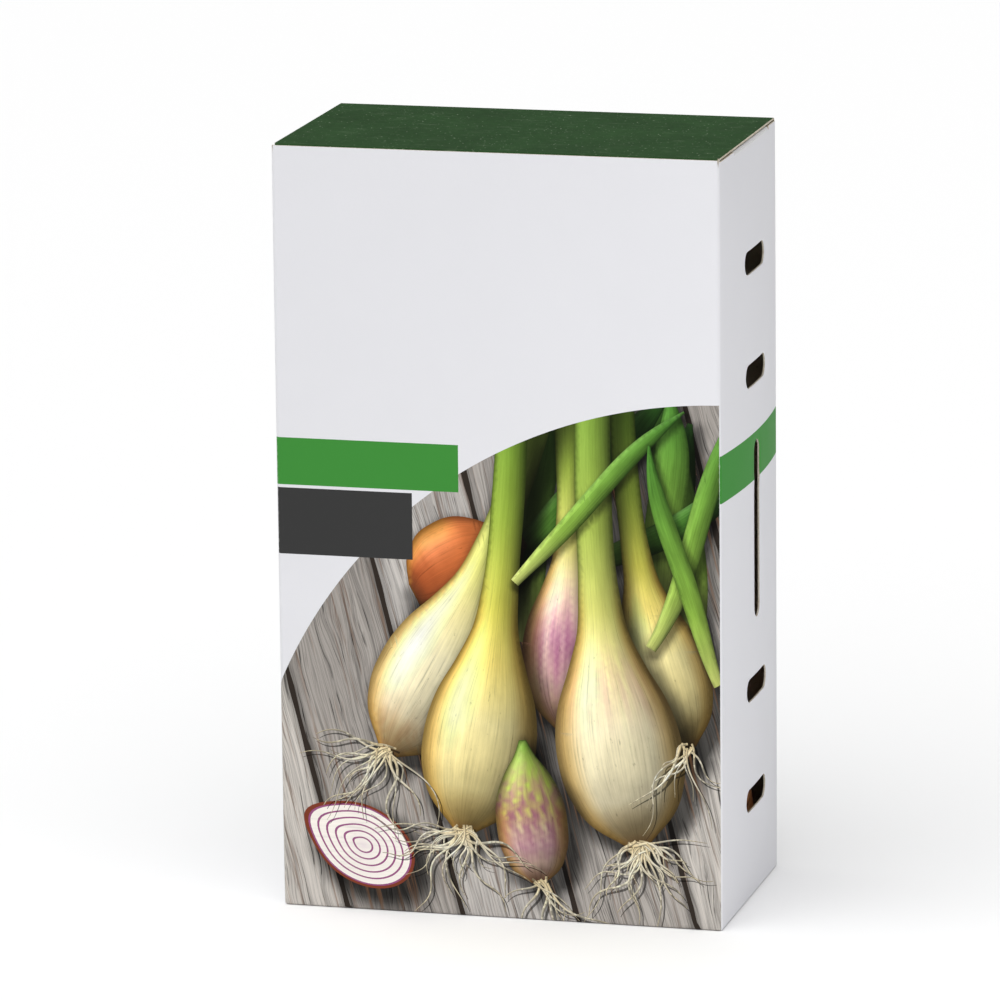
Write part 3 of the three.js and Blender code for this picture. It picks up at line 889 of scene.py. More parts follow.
@dataclass(frozen=True)
class Stroke(Motif):
    """A form drawn along a bent centreline: a bulb with its stalk, a leaf, or a root."""

    start: tuple[float, float]
    heading: float
    length: float
    half_width: float
    profile: tuple[tuple[float, float], ...]
    tones: tuple[tuple[float, Colour], ...]
    bend: float = 0.0
    sway: tuple[float, float, float] = (0.0, 1.0, 0.0)
    roundness: float = 1.0
    texture: Texture = Texture.NONE
    stalk_from: float = 2.0
    blush: tuple[float, float, float] = (0.0, 0.3, 0.1)
    blush_colour: Colour = shade_of(150, 78, 122)
    flank: float = 0.0
    flank_colour: Colour = shade_of(220, 162, 62)
    gloss: float = 0.0
    cast: float = 0.0
    steps: int = 60

    @property
    def shares(self) -> np.ndarray:
        """Shares of the length at which the form is drawn."""
        return np.linspace(0, 1, self.steps)

    def centreline(self) -> np.ndarray:
        """Points along the middle."""
        share = self.shares
        size, waves, phase = self.sway
        turn = self.heading + self.bend * share + size * np.sin(2 * math.pi * waves * share + phase)
        angle = np.radians(turn)
        steps = np.column_stack([np.cos(angle), np.sin(angle)]) * self.length / (self.steps - 1)
        return np.array(self.start) + np.vstack([np.zeros(2), np.cumsum(steps[:-1], 0)])

    def widths(self, share: np.ndarray) -> np.ndarray:
        """Half the width at each share of the length."""
        return self.half_width * np.maximum(0.02, through(self.profile, share))

    @property
    def outline(self) -> np.ndarray:
        """The closed outline."""
        middle = self.centreline()
        normal = self.normals(middle)
        reach = self.widths(self.shares)[:, None] * normal
        return np.vstack([middle - reach, (middle + reach)[::-1]])

    @staticmethod
    def normals(middle: np.ndarray) -> np.ndarray:
        """Unit directions to the left of the centreline."""
        ahead = np.gradient(middle, axis=0)
        ahead /= np.linalg.norm(ahead, axis=1)[:, None]
        return np.column_stack([-ahead[:, 1], ahead[:, 0]])

    def near(self, points: np.ndarray, margin: float) -> np.ndarray:
        """The numbers of the spots within a margin round the stroke's box."""
        middle = self.centreline()
        low, high = middle.min(0) - self.half_width - margin, middle.max(0) + self.half_width + margin
        return np.where(((points > low) & (points < high)).all(1))[0]

    def locate(self, points: np.ndarray) -> tuple[np.ndarray, np.ndarray, np.ndarray, np.ndarray]:
        """Finds spots in the stroke's own terms.

        Args:
            points: the spots.

        Returns:
            Share of the length, signed share of the half width, distance from the middle, nearest step.
        """
        middle = self.centreline()
        normal = self.normals(middle)
        gap = points[:, None, :] - middle[None, :, :]
        near = np.argmin(np.einsum("pki,pki->pk", gap, gap), axis=1)
        rest = points - middle[near]
        ahead = np.column_stack([normal[near, 1], -normal[near, 0]])
        onward = np.einsum("pi,pi->p", rest, ahead) * (self.steps - 1) / self.length
        share = np.clip((near + np.clip(onward, -0.5, 0.5)) / (self.steps - 1), 0, 1)
        across = np.einsum("pi,pi->p", rest, normal[near]) / self.widths(share)
        return share, np.clip(across, -1, 1), np.linalg.norm(rest, axis=1), near

    def tint(self, share: np.ndarray, across: np.ndarray) -> np.ndarray:
        """The form's own colours, before light and shade.

        Args:
            share: share of the length at each spot.
            across: signed share of the half width there.

        Returns:
            Display colours.
        """
        places = [t for t, _ in self.tones]
        colour = np.column_stack([np.interp(share, places, [c[k] for _, c in self.tones]) for k in range(3)])
        strength, middle, spread = self.blush
        veins = np.sin(19 * across + 3 * np.sin(7 * share + 1)) + np.sin(37 * across + 5 * np.sin(5 * share))
        veins += 0.8 * np.sin(9 * across + 23 * share + 2 * np.sin(11 * share))
        blush = strength * np.exp(-(((share - middle) / spread) ** 2)) * np.clip(0.62 + 0.24 * veins, 0, 1)
        colour += blush[:, None] * (np.array(self.blush_colour) - colour)
        warm = self.flank * smooth_step(0.5, 0.95, np.abs(across)) * smooth_step(0.62, 0.42, share)
        return colour + warm[:, None] * (np.array(self.flank_colour) - colour)

    def lit(self, across: np.ndarray, near: np.ndarray) -> np.ndarray:
        """How squarely each spot of the round form faces the light, from 0 to 1.

        Args:
            across: signed share of the half width at each spot.
            near: the nearest step of the centreline.

        Returns:
            One value for each spot.
        """
        normal = self.normals(self.centreline())[near]
        side = across * self.roundness
        slope = np.gradient(self.widths(self.shares)) * (self.steps - 1) / self.length
        ahead = np.column_stack([normal[:, 1], -normal[:, 0]])
        tilt = np.clip(-slope[near], -1.5, 1.5) * self.roundness
        facing = np.sqrt(np.maximum(0.02, 1 - side**2))
        flat = side[:, None] * normal + (tilt * facing)[:, None] * ahead
        size = np.sqrt((flat**2).sum(1) + facing**2)
        return np.clip((flat @ LIGHT[:2] + facing * LIGHT[2]) / size, 0, 1)

    def paint(self, points: np.ndarray) -> Painted:
        """A round form's light and shade over its tones.

        Args:
            points: the spots to paint.

        Returns:
            What the form puts on them.
        """
        share, across, _, near = self.locate(points)
        colour = self.tint(share, across)
        lit = self.lit(across, near)
        colour *= (UNLIT + LIT_GAIN * lit)[:, None]
        rim = RIM_DARK if self.half_width > THIN_BELOW else THIN_RIM_DARK
        colour *= (1 - rim * self.roundness * smooth_step(0.78, 1.0, np.abs(across)))[:, None]
        colour += (self.gloss * lit**14)[:, None] * np.array([1.0, 0.98, 0.9])
        along = share * self.length + 41 * self.start[0]
        grain = np.column_stack([along, np.arcsin(across) * self.half_width * 1.1])
        amounts = np.tile(self.texture.value, (len(points), 1))
        upper = smooth_step(self.stalk_from, self.stalk_from + 0.12, share)[:, None]
        amounts = amounts * (1 - upper) + np.array(Texture.STALK.value) * upper
        return Painted(np.clip(colour, 0, 1), grain, amounts)

    def shadow(self, points: np.ndarray) -> np.ndarray | None:
        """How dark it makes what lies under it, from 0 to 1."""
        if self.cast <= 0:
            return None
        widths = self.widths(self.shares)
        size = min(1.0, self.half_width / 8)
        dark = np.zeros(len(points))
        close = self.near(points, 9)
        for shift, soft, strength in (((2.6, -3.0), 4.5, 0.75), ((0.4, -0.5), 2.2, 0.5)):
            _, _, away, near = self.locate(points[close] - np.array(shift) * size)
            under = strength * (1 - smooth_step(-1.5 * size, soft * size, away - widths[near]))
            dark[close] = np.maximum(dark[close], under)
        return dark * self.cast


@dataclass(frozen=True)
class Disc(Motif):
    """An oval whose colour runs from its middle to its rim."""

    centre: tuple[float, float]
    radii: tuple[float, float]
    tilt: float
    middle: Colour
    rim: Colour
    cast: float = 0.0
    point: float = 0.0
    sides: int = 56

    def place(self, turn: np.ndarray, share: float) -> np.ndarray:
        """Spots round the oval at a share of its radius."""
        long = self.radii[0] * (1 + self.point * np.maximum(0, np.cos(turn)) ** 6)
        x, y = long * np.cos(turn) * share, self.radii[1] * np.sin(turn) * share
        c, s = math.cos(math.radians(self.tilt)), math.sin(math.radians(self.tilt))
        return np.column_stack([self.centre[0] + c * x - s * y, self.centre[1] + s * x + c * y])

    @property
    def outline(self) -> np.ndarray:
        """The closed outline."""
        return self.place(np.linspace(0, 2 * math.pi, self.sides + 1)[:-1], 1)

    def reach(self, points: np.ndarray) -> np.ndarray:
        """Share of the radius at each spot."""
        c, s = math.cos(math.radians(self.tilt)), math.sin(math.radians(self.tilt))
        x, y = (points - np.array(self.centre)).T
        return np.hypot((c * x + s * y) / self.radii[0], (c * y - s * x) / self.radii[1])

    def paint(self, points: np.ndarray) -> Painted:
        """Tones from the middle out to the rim, with faint skin detail."""
        share = np.clip(self.reach(points), 0, 1)[:, None]
        colour = np.array(self.middle) * (1 - share) + np.array(self.rim) * share
        made = Painted.flat(points, self.middle)
        made.colour = colour
        made.texture[:] = np.array(Texture.SKIN.value) * 0.35
        return made

    def shadow(self, points: np.ndarray) -> np.ndarray | None:
        """How dark it makes what lies under it, from 0 to 1."""
        if self.cast <= 0:
            return None
        moved = points - np.array([2.4, -2.8])
        return self.cast * (1 - smooth_step(0.85, 1.45, self.reach(moved)))


@dataclass(frozen=True)
class Shade:
    """A thin dark outline that dims what lies under it, as a root's shadow does."""

    outline: np.ndarray


BULB_PROFILE = (
    (0.0, 0.16), (0.015, 0.3), (0.05, 0.62), (0.12, 0.92), (0.2, 1.0), (0.3, 0.88), (0.38, 0.62),
    (0.45, 0.42), (0.55, 0.32), (0.75, 0.29), (1.0, 0.27),
)
ROUND_PROFILE = (
    (0.0, 0.2), (0.05, 0.5), (0.2, 0.88), (0.4, 1.0), (0.6, 0.92), (0.78, 0.6), (0.9, 0.28), (1.0, 0.1),
)
BLADE_PROFILE = ((0.0, 0.5), (0.25, 0.9), (0.5, 1.0), (0.8, 0.8), (1.0, 0.12))
ROOT_PROFILE = ((0.0, 1.0), (0.3, 0.85), (0.7, 0.55), (1.0, 0.2))

CREAM = tone_stops(
    (0.0, 168, 122, 74), (0.03, 214, 186, 132), (0.1, 246, 234, 196),
    (0.25, 248, 238, 196), (0.38, 240, 228, 160), (0.5, 216, 216, 118),
    (0.7, 170, 194, 84), (1.0, 122, 164, 62),
)
YELLOW = tone_stops(
    (0.0, 160, 112, 60), (0.03, 214, 182, 108), (0.1, 244, 226, 158),
    (0.25, 250, 236, 168), (0.38, 238, 218, 120), (0.5, 214, 208, 90),
    (0.7, 160, 186, 70), (1.0, 104, 150, 52),
)
ROSE = tone_stops(
    (0.0, 150, 98, 70), (0.04, 206, 160, 128), (0.12, 232, 202, 176),
    (0.25, 226, 186, 182), (0.38, 226, 206, 164), (0.5, 214, 210, 112),
    (0.7, 166, 190, 76), (1.0, 116, 158, 60),
)
COPPER = tone_stops(
    (0.0, 112, 62, 38), (0.1, 182, 92, 50), (0.5, 198, 106, 56),
    (0.85, 176, 100, 54), (1.0, 140, 98, 60),
)
GREEN_BLADE = tone_stops((0.0, 206, 214, 120), (0.3, 146, 186, 74), (1.0, 74, 132, 50))
DEEP_BLADE = tone_stops((0.0, 120, 160, 66), (0.4, 78, 128, 46), (1.0, 52, 98, 40))
STRAW = tone_stops((0.0, 236, 214, 166), (0.4, 254, 246, 222), (1.0, 238, 222, 184))

# Leaves as (start, heading, length, half width, bend), behind the bulbs and in front of them
BACK_LEAVES = (
    ((6, 66), 78, 62, 4.4, 12), ((28, 62), 66, 60, 5.0, 14), ((46, 66), 100, 60, 5.2, -8),
    ((-2, 78), 44, 66, 3.8, 10), ((38, 74), 84, 52, 4.4, 6), ((20, 84), 26, 46, 3.2, 10),
)
FRONT_LEAVES = (((36, 66), 62, 62, 2.6, 18), ((4, 80), 52, 58, 2.2, -12), ((52, 58), 116, 58, 2.4, -20))

# Tufts of roots as (centre, heading, number of roots)
ROOT_TUFTS = (
    ((33.0, 19.5), 283, 30), ((-9.0, 20.5), 258, 28), ((-27.0, 38.5), 238, 19),
    ((45.0, 43.5), 290, 10), ((9.0, 9.5), 276, 10),
)


@dataclass
class FrontPrint:
    """The print on the sleeve: a band, a plain block, and a generic still life inside an arc."""

    form: CartonForm
    band: tuple[float, float] = (100.6, 111.7)
    band_end: float = -9.1
    block: tuple[float, float, float] = (-20.2, 84.2, 99.9)
    arc_centre: tuple[float, float] = (54.14, 7.56)
    arc_radius: float = 116.03
    picture_edge: float = 0.34
    board_ink: Colour = shade_of(229, 229, 233)
    band_ink: Colour = shade_of(66, 142, 61)
    block_ink: Colour = shade_of(60, 60, 60)
    shade_factor: float = 0.55
    strip_step: float = 2.0
    seed: int = 5
    panel_top: float = 128.0
    gap_reach: float = 170.0
    motifs: list[Motif] = field(default_factory=list)
    shades: list[Shade] = field(default_factory=list)

    def picture_outline(self) -> np.ndarray:
        """The arc, cut off by the panel's two creases and its foot."""
        left, right = -self.form.width / 2 - 0.2, self.form.width / 2 + 0.1 - self.picture_edge
        x, y = self.arc_centre
        top = math.acos((right - x) / self.arc_radius)
        low = math.acos((left - x) / self.arc_radius)
        turns = np.linspace(top, low, 90)
        arc = np.column_stack([x + self.arc_radius * np.cos(turns), y + self.arc_radius * np.sin(turns)])
        return np.vstack([arc, [[left, 0.01], [right, 0.01]]])

    def compose(self) -> None:
        """Lays out the picture from back to front, then the block and the band over it."""
        rng = np.random.default_rng(self.seed)
        ground = Planks(self.picture_outline())
        self.motifs = [ground, *ground.gaps(self.gap_reach, rng)]
        self.motifs += self.leaves(rng, behind=True)
        self.motifs += self.bulbs()
        self.motifs += self.leaves(rng, behind=False)
        self.motifs += self.cut_half()
        self.motifs += self.roots(rng)

    @staticmethod
    def bulb(
        start: tuple[float, float], heading: float, length: float, half: float, **more: object
    ) -> Stroke:
        """A shallot with its stalk.

        Args:
            start: where its root plate lies.
            heading: which way it points, in degrees from the panel's X.
            length: its length with the stalk.
            half: half its width.
            **more: any other fields of the stroke, in place of a shallot's usual ones.

        Returns:
            The stroke.
        """
        values: dict[str, object] = {
            "profile": BULB_PROFILE, "texture": Texture.SKIN, "stalk_from": 0.4, "gloss": 0.2,
            "cast": 0.85, "steps": 110, "flank": 0.6,
        }
        values.update(more)
        return Stroke(start, heading, length, half, **values)

    def bulbs(self) -> list[Stroke]:
        """The shallots, from the furthest to the nearest."""
        dry = {"profile": ROUND_PROFILE, "tones": COPPER, "stalk_from": 2.0, "steps": 60}
        return [
            self.bulb((-20.0, 76.0), 28, 30, 13.0, **dry),
            self.bulb((45.0, 43.0), 111, 88, 10.5, tones=YELLOW, bend=-22),
            self.bulb((16.0, 45.0), 86, 90, 11.5, tones=ROSE, bend=8, blush=(0.75, 0.22, 0.13)),
            self.bulb((-27.0, 38.0), 58, 104, 13.0, tones=CREAM, bend=18, blush=(0.3, 0.06, 0.05),
                      blush_colour=shade_of(176, 108, 60)),
            self.bulb((-9.0, 20.0), 78, 108, 13.5, tones=YELLOW, bend=10),
            self.bulb((33.0, 19.0), 103, 112, 15.0, tones=CREAM, bend=-16, blush=(0.25, 0.34, 0.08)),
            self.bulb((9.0, 9.0), 96, 34, 8.5, profile=ROUND_PROFILE, tones=ROSE, stalk_from=0.7,
                      blush=(0.8, 0.5, 0.3), steps=60),
        ]

    def leaves(self, rng: np.random.Generator, behind: bool) -> list[Stroke]:
        """Long green leaves above the bulbs."""
        rows = BACK_LEAVES if behind else FRONT_LEAVES
        made = []
        for number, (start, heading, length, half, bend) in enumerate(rows):
            tones = DEEP_BLADE if behind and number % 2 else GREEN_BLADE
            made.append(Stroke(start, heading, length, half, BLADE_PROFILE, tones, bend=bend,
                               sway=(rng.uniform(3, 8), 1.0, rng.uniform(0, 6)), roundness=0.75,
                               texture=Texture.LEAF, gloss=0.12, cast=0.6, steps=60))
        return made

    def cut_half(self) -> list[Disc]:
        """A halved bulb, cut face up, with its rings."""
        centre, radii, tilt = (-33.0, 15.5), (13.0, 9.4), 152.0
        purple, pale, white = shade_of(150, 84, 128), shade_of(236, 222, 226), shade_of(246, 240, 232)
        made = [Disc(centre, radii, tilt, shade_of(170, 96, 62), shade_of(126, 62, 44), cast=0.7, point=0.22)]
        for ring in range(6):
            share = 0.94 - 0.15 * ring
            for size, middle, rim in ((share, purple, purple), (share - 0.035, pale, white)):
                made.append(Disc(centre, (radii[0] * size, radii[1] * size), tilt, middle, rim, point=0.2))
        return made

    def roots(self, rng: np.random.Generator) -> list[Stroke]:
        """Thin curling roots at each bulb's base, and their shadows."""
        made = []
        for centre, heading, count in ROOT_TUFTS:
            for _ in range(count):
                start = (centre[0] + rng.normal(0, 1.3), centre[1] + rng.normal(0, 0.6))
                length = rng.uniform(9, 25)
                sway = (rng.uniform(12, 42), rng.uniform(0.6, 1.7), rng.uniform(0, 6.3))
                turned, half = heading + rng.uniform(-68, 68), rng.uniform(0.22, 0.4)
                root = Stroke(start, turned, length, half, ROOT_PROFILE, STRAW, bend=rng.uniform(-35, 35),
                              sway=sway, texture=Texture.FIBRE, steps=22)
                made.append(root)
                self.shades.append(Shade(root.outline + np.array([0.8, -0.9])))
        return made

    def clipped(self, outline: np.ndarray) -> np.ndarray:
        """An outline kept inside the front panel."""
        half = self.form.width / 2
        return np.clip(outline, (-half, 0.02), (half - 0.05, self.panel_top))

    def draw(self, drawing: FlatDrawing) -> None:
        """Adds the print's outlines to the drawing."""
        for outline in (self.picture_outline(), *(area.outline for area in self.areas())):
            drawing.add_loop(outline)
        for motif in [*self.motifs[1:], *self.shades]:
            drawing.add_loop(self.clipped(motif.outline))

    def areas(self) -> list[Patch]:
        """The plain coloured areas over the board and the picture: the band in two lengths, and the block."""
        return [
            Patch(self.band_outline(), self.band_ink), Patch(self.wrap_outline(), self.band_ink),
            Patch(self.block_outline(), self.block_ink),
        ]

    def band_outline(self) -> np.ndarray:
        """The band's first length, from the back's centre over the left side to its end on the front."""
        return self.strip(-self.form.half_round, self.band_end)

    def wrap_outline(self) -> np.ndarray:
        """The band's second length, from the front right corner over the right side to the back's centre."""
        return self.strip(self.form.half_front + self.form.turn / 2, self.form.half_round)

    def strip(self, left: float, right: float) -> np.ndarray:
        """A length of the band, with points close enough to follow the bowed sides."""
        places = np.linspace(left, right, round((right - left) / self.strip_step) + 1)
        low, high = self.band
        return np.vstack([np.column_stack([places, np.full(len(places), low)]),
                          np.column_stack([places[::-1], np.full(len(places), high)])])

    def block_outline(self) -> np.ndarray:
        """The plain dark block."""
        right, low, high = self.block
        left = -self.form.width / 2
        return np.array([(left, low), (right, low), (right, high), (left, high)])


class Zone(IntEnum):
    """Material slots of a sheet of board."""

    OUTSIDE = 0
    INSIDE = 1
    CUT = 2


@dataclass
class Sleeve:
    """The folded sleeve: four panels with slots, print, creases and cut edges."""

    form: CartonForm
    print: FrontPrint
    crease_facets: int = 8
    row: float = 2.6
    column: float = 2.8
    foot_rows: int = 5
    picture_step: float = 1.0
    picture_top: float = 126.0
    top_clear: float = 0.25
    slot_clear: float = 0.9
    relief_width: float = 0.45
    relief_depth: float = 1.7
    dust_front: float = -14.4
    dust_back: float = 21.4
    slot_width: float = 5.5
    short_slot: float = 20.0
    long_slot: float = 42.0
    slot_middle: float = 88.6
    slot_near: float = 37.1
    slot_far: float = 63.5
    slot_y: float = 1.0
    lip: float = 0.35
    lip_drop: float = 0.09
    seam_width: float = 0.3
    seam_depth: float = 0.12

    INK = "ink"
    TEXTURE = "texture"
    GRAIN = "grain"
    WEAR = "wear"

    def top_path(self) -> list[tuple[float, float]]:
        """The cut top edge, from the front's centre to the back's."""
        form = self.form
        corner = form.half_front + form.turn / 2
        depth = form.board + form.slack / 2
        step = form.half_front + form.crease_radius * math.acos(1 - depth / form.crease_radius)
        notch = form.dust_flap_middle - form.crease_gap
        first, last = form.along_side(self.dust_front), form.along_side(self.dust_back)
        return [
            (corner - self.relief_width / 2, form.front_top),
            (corner, form.front_top - self.relief_depth),
            (corner + self.relief_width / 2, form.front_top),
            (step, form.front_top), (step, form.shoulder_top),
            (first, form.shoulder_top), (first, notch), (last, notch), (last, form.shoulder_top),
            (form.half_round, form.shoulder_top),
        ]

    def slots(self, grow: float) -> list[np.ndarray]:
        """Outlines of the ten vent slots on the flat sleeve, drawn wider by grow."""
        heights = [(self.slot_middle, self.long_slot, True)]
        for reach in (self.slot_near, self.slot_far):
            heights += [(self.slot_middle + s * reach, self.short_slot, False) for s in (-1, 1)]
        middle = self.form.along_side(self.slot_y)
        return [
            self.slot_outline(side * middle, height, length, upright, grow)
            for side in Side
            for height, length, upright in heights
        ]

    def slot_outline(
        self, along: float, height: float, length: float, upright: bool, grow: float
    ) -> np.ndarray:
        """A slot with round ends.

        Args:
            along: its middle along the board.
            height: its middle up the board.
            length: its length over both ends.
            upright: whether it runs up the board.
            grow: how much wider than the cut slot it is drawn.

        Returns:
            Its outline on the flat sleeve.
        """
        radius = self.slot_width / 2 + grow
        straight = length / 2 - self.slot_width / 2
        turns = np.linspace(-math.pi / 2, math.pi / 2, 15)
        end = np.column_stack([straight + radius * np.cos(turns), radius * np.sin(turns)])
        side = np.column_stack([np.linspace(straight, -straight, 9)[1:-1], np.full(7, radius)])
        ring = np.vstack([end, side, -end, -side])
        ring = ring[:, ::-1] if upright else ring
        return ring + np.array([along, height])

    def levels(self) -> np.ndarray:
        """Heights of the rows of points."""
        foot = np.linspace(0, self.form.foot_radius, self.foot_rows)
        top = self.form.front_top - 0.2
        return np.concatenate([foot, np.linspace(foot[-1] + 0.5, top, round(top / self.row))])

    def columns(self) -> np.ndarray:
        """Places along the board of the columns of points, for the right half."""
        form = self.form
        margin = 0.4
        parts = [
            np.linspace(0, form.half_front - margin, round(form.half_front / self.column) + 1),
            np.linspace(form.half_front, form.side_start, self.crease_facets + 1),
            np.linspace(
                form.side_start + margin, form.side_end - margin, round(form.depth / self.column) + 1
            ),
            np.linspace(form.side_end, form.side_end + form.turn, self.crease_facets + 1),
            np.linspace(form.side_end + form.turn + margin, form.half_round, 20),
        ]
        return np.concatenate(parts)

    def top_at(self, along: np.ndarray) -> np.ndarray:
        """Height of the cut top edge."""
        path = np.array([(0.0, self.form.front_top), *self.top_path()])
        return np.interp(np.abs(along), path[:, 0] + 1e-6 * np.arange(len(path)), path[:, 1])

    def sheet_outline(self) -> np.ndarray:
        """The cut outline of the flat sleeve."""
        form = self.form
        right = self.columns()
        top = self.top_path()
        levels = self.levels()
        ends = levels[(levels > 0) & (levels < form.shoulder_top - 0.1)]
        outline = [(u, 0.0) for u in np.concatenate([-right[:0:-1], right])]
        outline += [(form.half_round, v) for v in ends]
        outline += top[::-1] + [(-u, v) for u, v in top]
        outline += [(-form.half_round, v) for v in ends[::-1]]
        return np.array(outline)

    def draw(self) -> FlatDrawing:
        """Draws the flat sleeve with everything that the triangles keep to."""
        form = self.form
        drawing = FlatDrawing()
        levels, right = self.levels(), self.columns()
        along = np.concatenate([-right[:0:-1], right])
        drawing.add_loop(self.sheet_outline())
        for ring, wider in zip(self.slots(0), self.slots(self.lip)):
            drawing.add_loop(ring)
            drawing.add_loop(wider)
        grid = np.array([(u, v) for u in along for v in levels[1:]])
        grid = grid[grid[:, 1] < self.top_at(grid[:, 0]) - self.top_clear]
        grid = grid[~self.near_slots(grid, self.slot_clear)]
        inner = (np.abs(grid[:, 0]) < form.half_front - 0.5) & (grid[:, 1] > form.foot_radius + 0.1)
        drawing.add_points(grid[~(inner & self.in_picture(grid, 1.0))])
        for u in along[self.on_crease(along)]:
            limit = float(self.top_at(np.array([u]))[0])
            column = levels[levels < limit - self.top_clear]
            drawing.add_line(np.array([(u, v) for v in column] + [(u, limit)]))
        for v in levels[1:self.foot_rows]:
            drawing.add_line(np.array([(-form.half_round, v), (form.half_round, v)]))
        for share in (-0.5, -0.45, 0.45, 0.5):
            column = levels[levels < form.shoulder_top - self.top_clear]
            u = self.seam + share * self.seam_width
            drawing.add_line(np.array([(u, v) for v in column] + [(u, form.shoulder_top)]))
        fine = np.arange(-form.half_front + 0.6, form.half_front - 0.5, self.picture_step)
        high = np.arange(form.foot_radius + 0.6, self.picture_top, self.picture_step)
        stagger = 0.5 * self.picture_step
        dense = np.array([(u + stagger * (k % 2), v) for u in fine for k, v in enumerate(high)])
        drawing.add_points(dense[self.in_picture(dense, 0.0)])
        self.print.draw(drawing)
        return drawing

    @property
    def seam(self) -> float:
        """Middle of the glued seam: the left panel's raw edge, just before the back left crease."""
        return -self.form.side_end + self.seam_width

    def in_seam(self, along: np.ndarray, margin: float) -> np.ndarray:
        """Which places lie on the seam's raw edge."""
        return np.abs(along - self.seam) < self.seam_width / 2 + margin

    def on_crease(self, along: np.ndarray) -> np.ndarray:
        """Which places lie on one of the four creases."""
        form, t = self.form, np.abs(along)
        front = (t > form.half_front - 0.01) & (t < form.side_start + 0.01)
        back = (t > form.side_end - 0.01) & (t < form.side_end + form.turn + 0.01)
        return front | back

    def in_picture(self, points: np.ndarray, margin: float) -> np.ndarray:
        """Which spots lie inside the picture's arc on the front."""
        centre = np.array(self.print.arc_centre)
        inside = np.hypot(*(points - centre).T) < self.print.arc_radius + margin
        return inside & (np.abs(points[:, 0]) < self.form.half_front)

    def near_slots(self, points: np.ndarray, margin: float) -> np.ndarray:
        """Which spots lie in a slot or within a margin round one."""
        close = np.zeros(len(points), bool)
        for ring in self.slots(0):
            low, high = ring.min(0) - margin, ring.max(0) + margin
            close |= ((points > low) & (points < high)).all(1)
        return close

    def build(self) -> bpy.types.Object:
        """Makes the sleeve."""
        self.print.compose()
        flat, triangles = self.draw().triangulate()
        middles = flat[triangles].mean(1)
        kept = FlatDrawing.inside(self.sheet_outline(), middles)
        for ring in self.slots(0):
            kept &= ~FlatDrawing.inside(ring, middles)
        flat, triangles, sources = self.weld(flat, triangles[kept])
        ink, grain, texture = self.ink(sources)
        outer, inner = self.form.wrap(flat, self.lips(flat)), self.form.wrap(flat, self.form.board)
        count = len(flat)
        rim = self.rim(triangles)
        faces = [*triangles.tolist(), *(triangles[:, ::-1] + count).tolist()]
        faces += [[a, a + count, b + count, b] for a, b in rim]
        raw = self.in_seam(sources.mean(1)[:, 0], -0.01)
        slots = [*np.where(raw, Zone.CUT, Zone.OUTSIDE)]
        slots += [Zone.INSIDE] * len(triangles) + [Zone.CUT] * len(rim)
        made = make_piece("printed_sleeve", np.vstack([outer, inner]), faces, (PRINTED, INNER, EDGE), slots)
        self.write_print(made.data, ink, grain, texture)
        wear = made.data.attributes.new(self.WEAR, "FLOAT", "POINT")
        wear.data.foreach_set("value", np.tile(self.wear(flat), 2).astype(np.float32))
        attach(made, Body.CARTON)
        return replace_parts(made, "sleeve")

    def weld(self, flat: np.ndarray, triangles: np.ndarray) -> tuple[np.ndarray, np.ndarray, np.ndarray]:
        """Joins the flat sleeve's two ends, which meet behind, and drops unused points.

        Args:
            flat: the flat net's points.
            triangles: its triangles.

        Returns:
            The points left, the triangles on them, and each triangle's own flat corners.
        """
        sources = flat[triangles]
        ends = np.where(np.isclose(flat[:, 0], -self.form.half_round, atol=1e-3))[0]
        far = np.where(np.isclose(flat[:, 0], self.form.half_round, atol=1e-3))[0]
        stands = np.arange(len(flat))
        for k in ends:
            match = far[np.argmin(np.abs(flat[far, 1] - flat[k, 1]))]
            stands[k] = match
        triangles = stands[triangles]
        used, renumbered = np.unique(triangles, return_inverse=True)
        return flat[used], renumbered.reshape(-1, 3), sources

    def lips(self, flat: np.ndarray) -> np.ndarray:
        """How far each point lies under the outer face: slot edges are pressed in a little."""
        drop = np.zeros(len(flat))
        near = np.where(self.near_slots(flat, 0.1))[0]
        for ring in self.slots(0):
            gap = np.abs(flat[near, None, :] - ring[None, :, :]).sum(2).min(1)
            drop[near[gap < 1e-3]] = self.lip_drop
        drop[self.in_seam(flat[:, 0], -0.01)] = self.seam_depth
        return drop

    @staticmethod
    def rim(triangles: np.ndarray) -> list[tuple[int, int]]:
        """The edges that only one triangle has, in its own direction."""
        edges = np.vstack([triangles[:, [0, 1]], triangles[:, [1, 2]], triangles[:, [2, 0]]])
        return lone_edges((int(a), int(b)) for a, b in edges)

    def wear(self, flat: np.ndarray) -> np.ndarray:
        """1 on the middle of a crease, and 0 on the panels."""
        form = self.form
        t = np.abs(flat[:, 0])
        made = np.zeros(len(flat))
        for middle in (form.half_front + form.turn / 2, form.side_end + form.turn / 2):
            made = np.maximum(made, 1 - np.abs(t - middle) / (0.5 * form.turn))
        return np.clip(made, 0, 1)

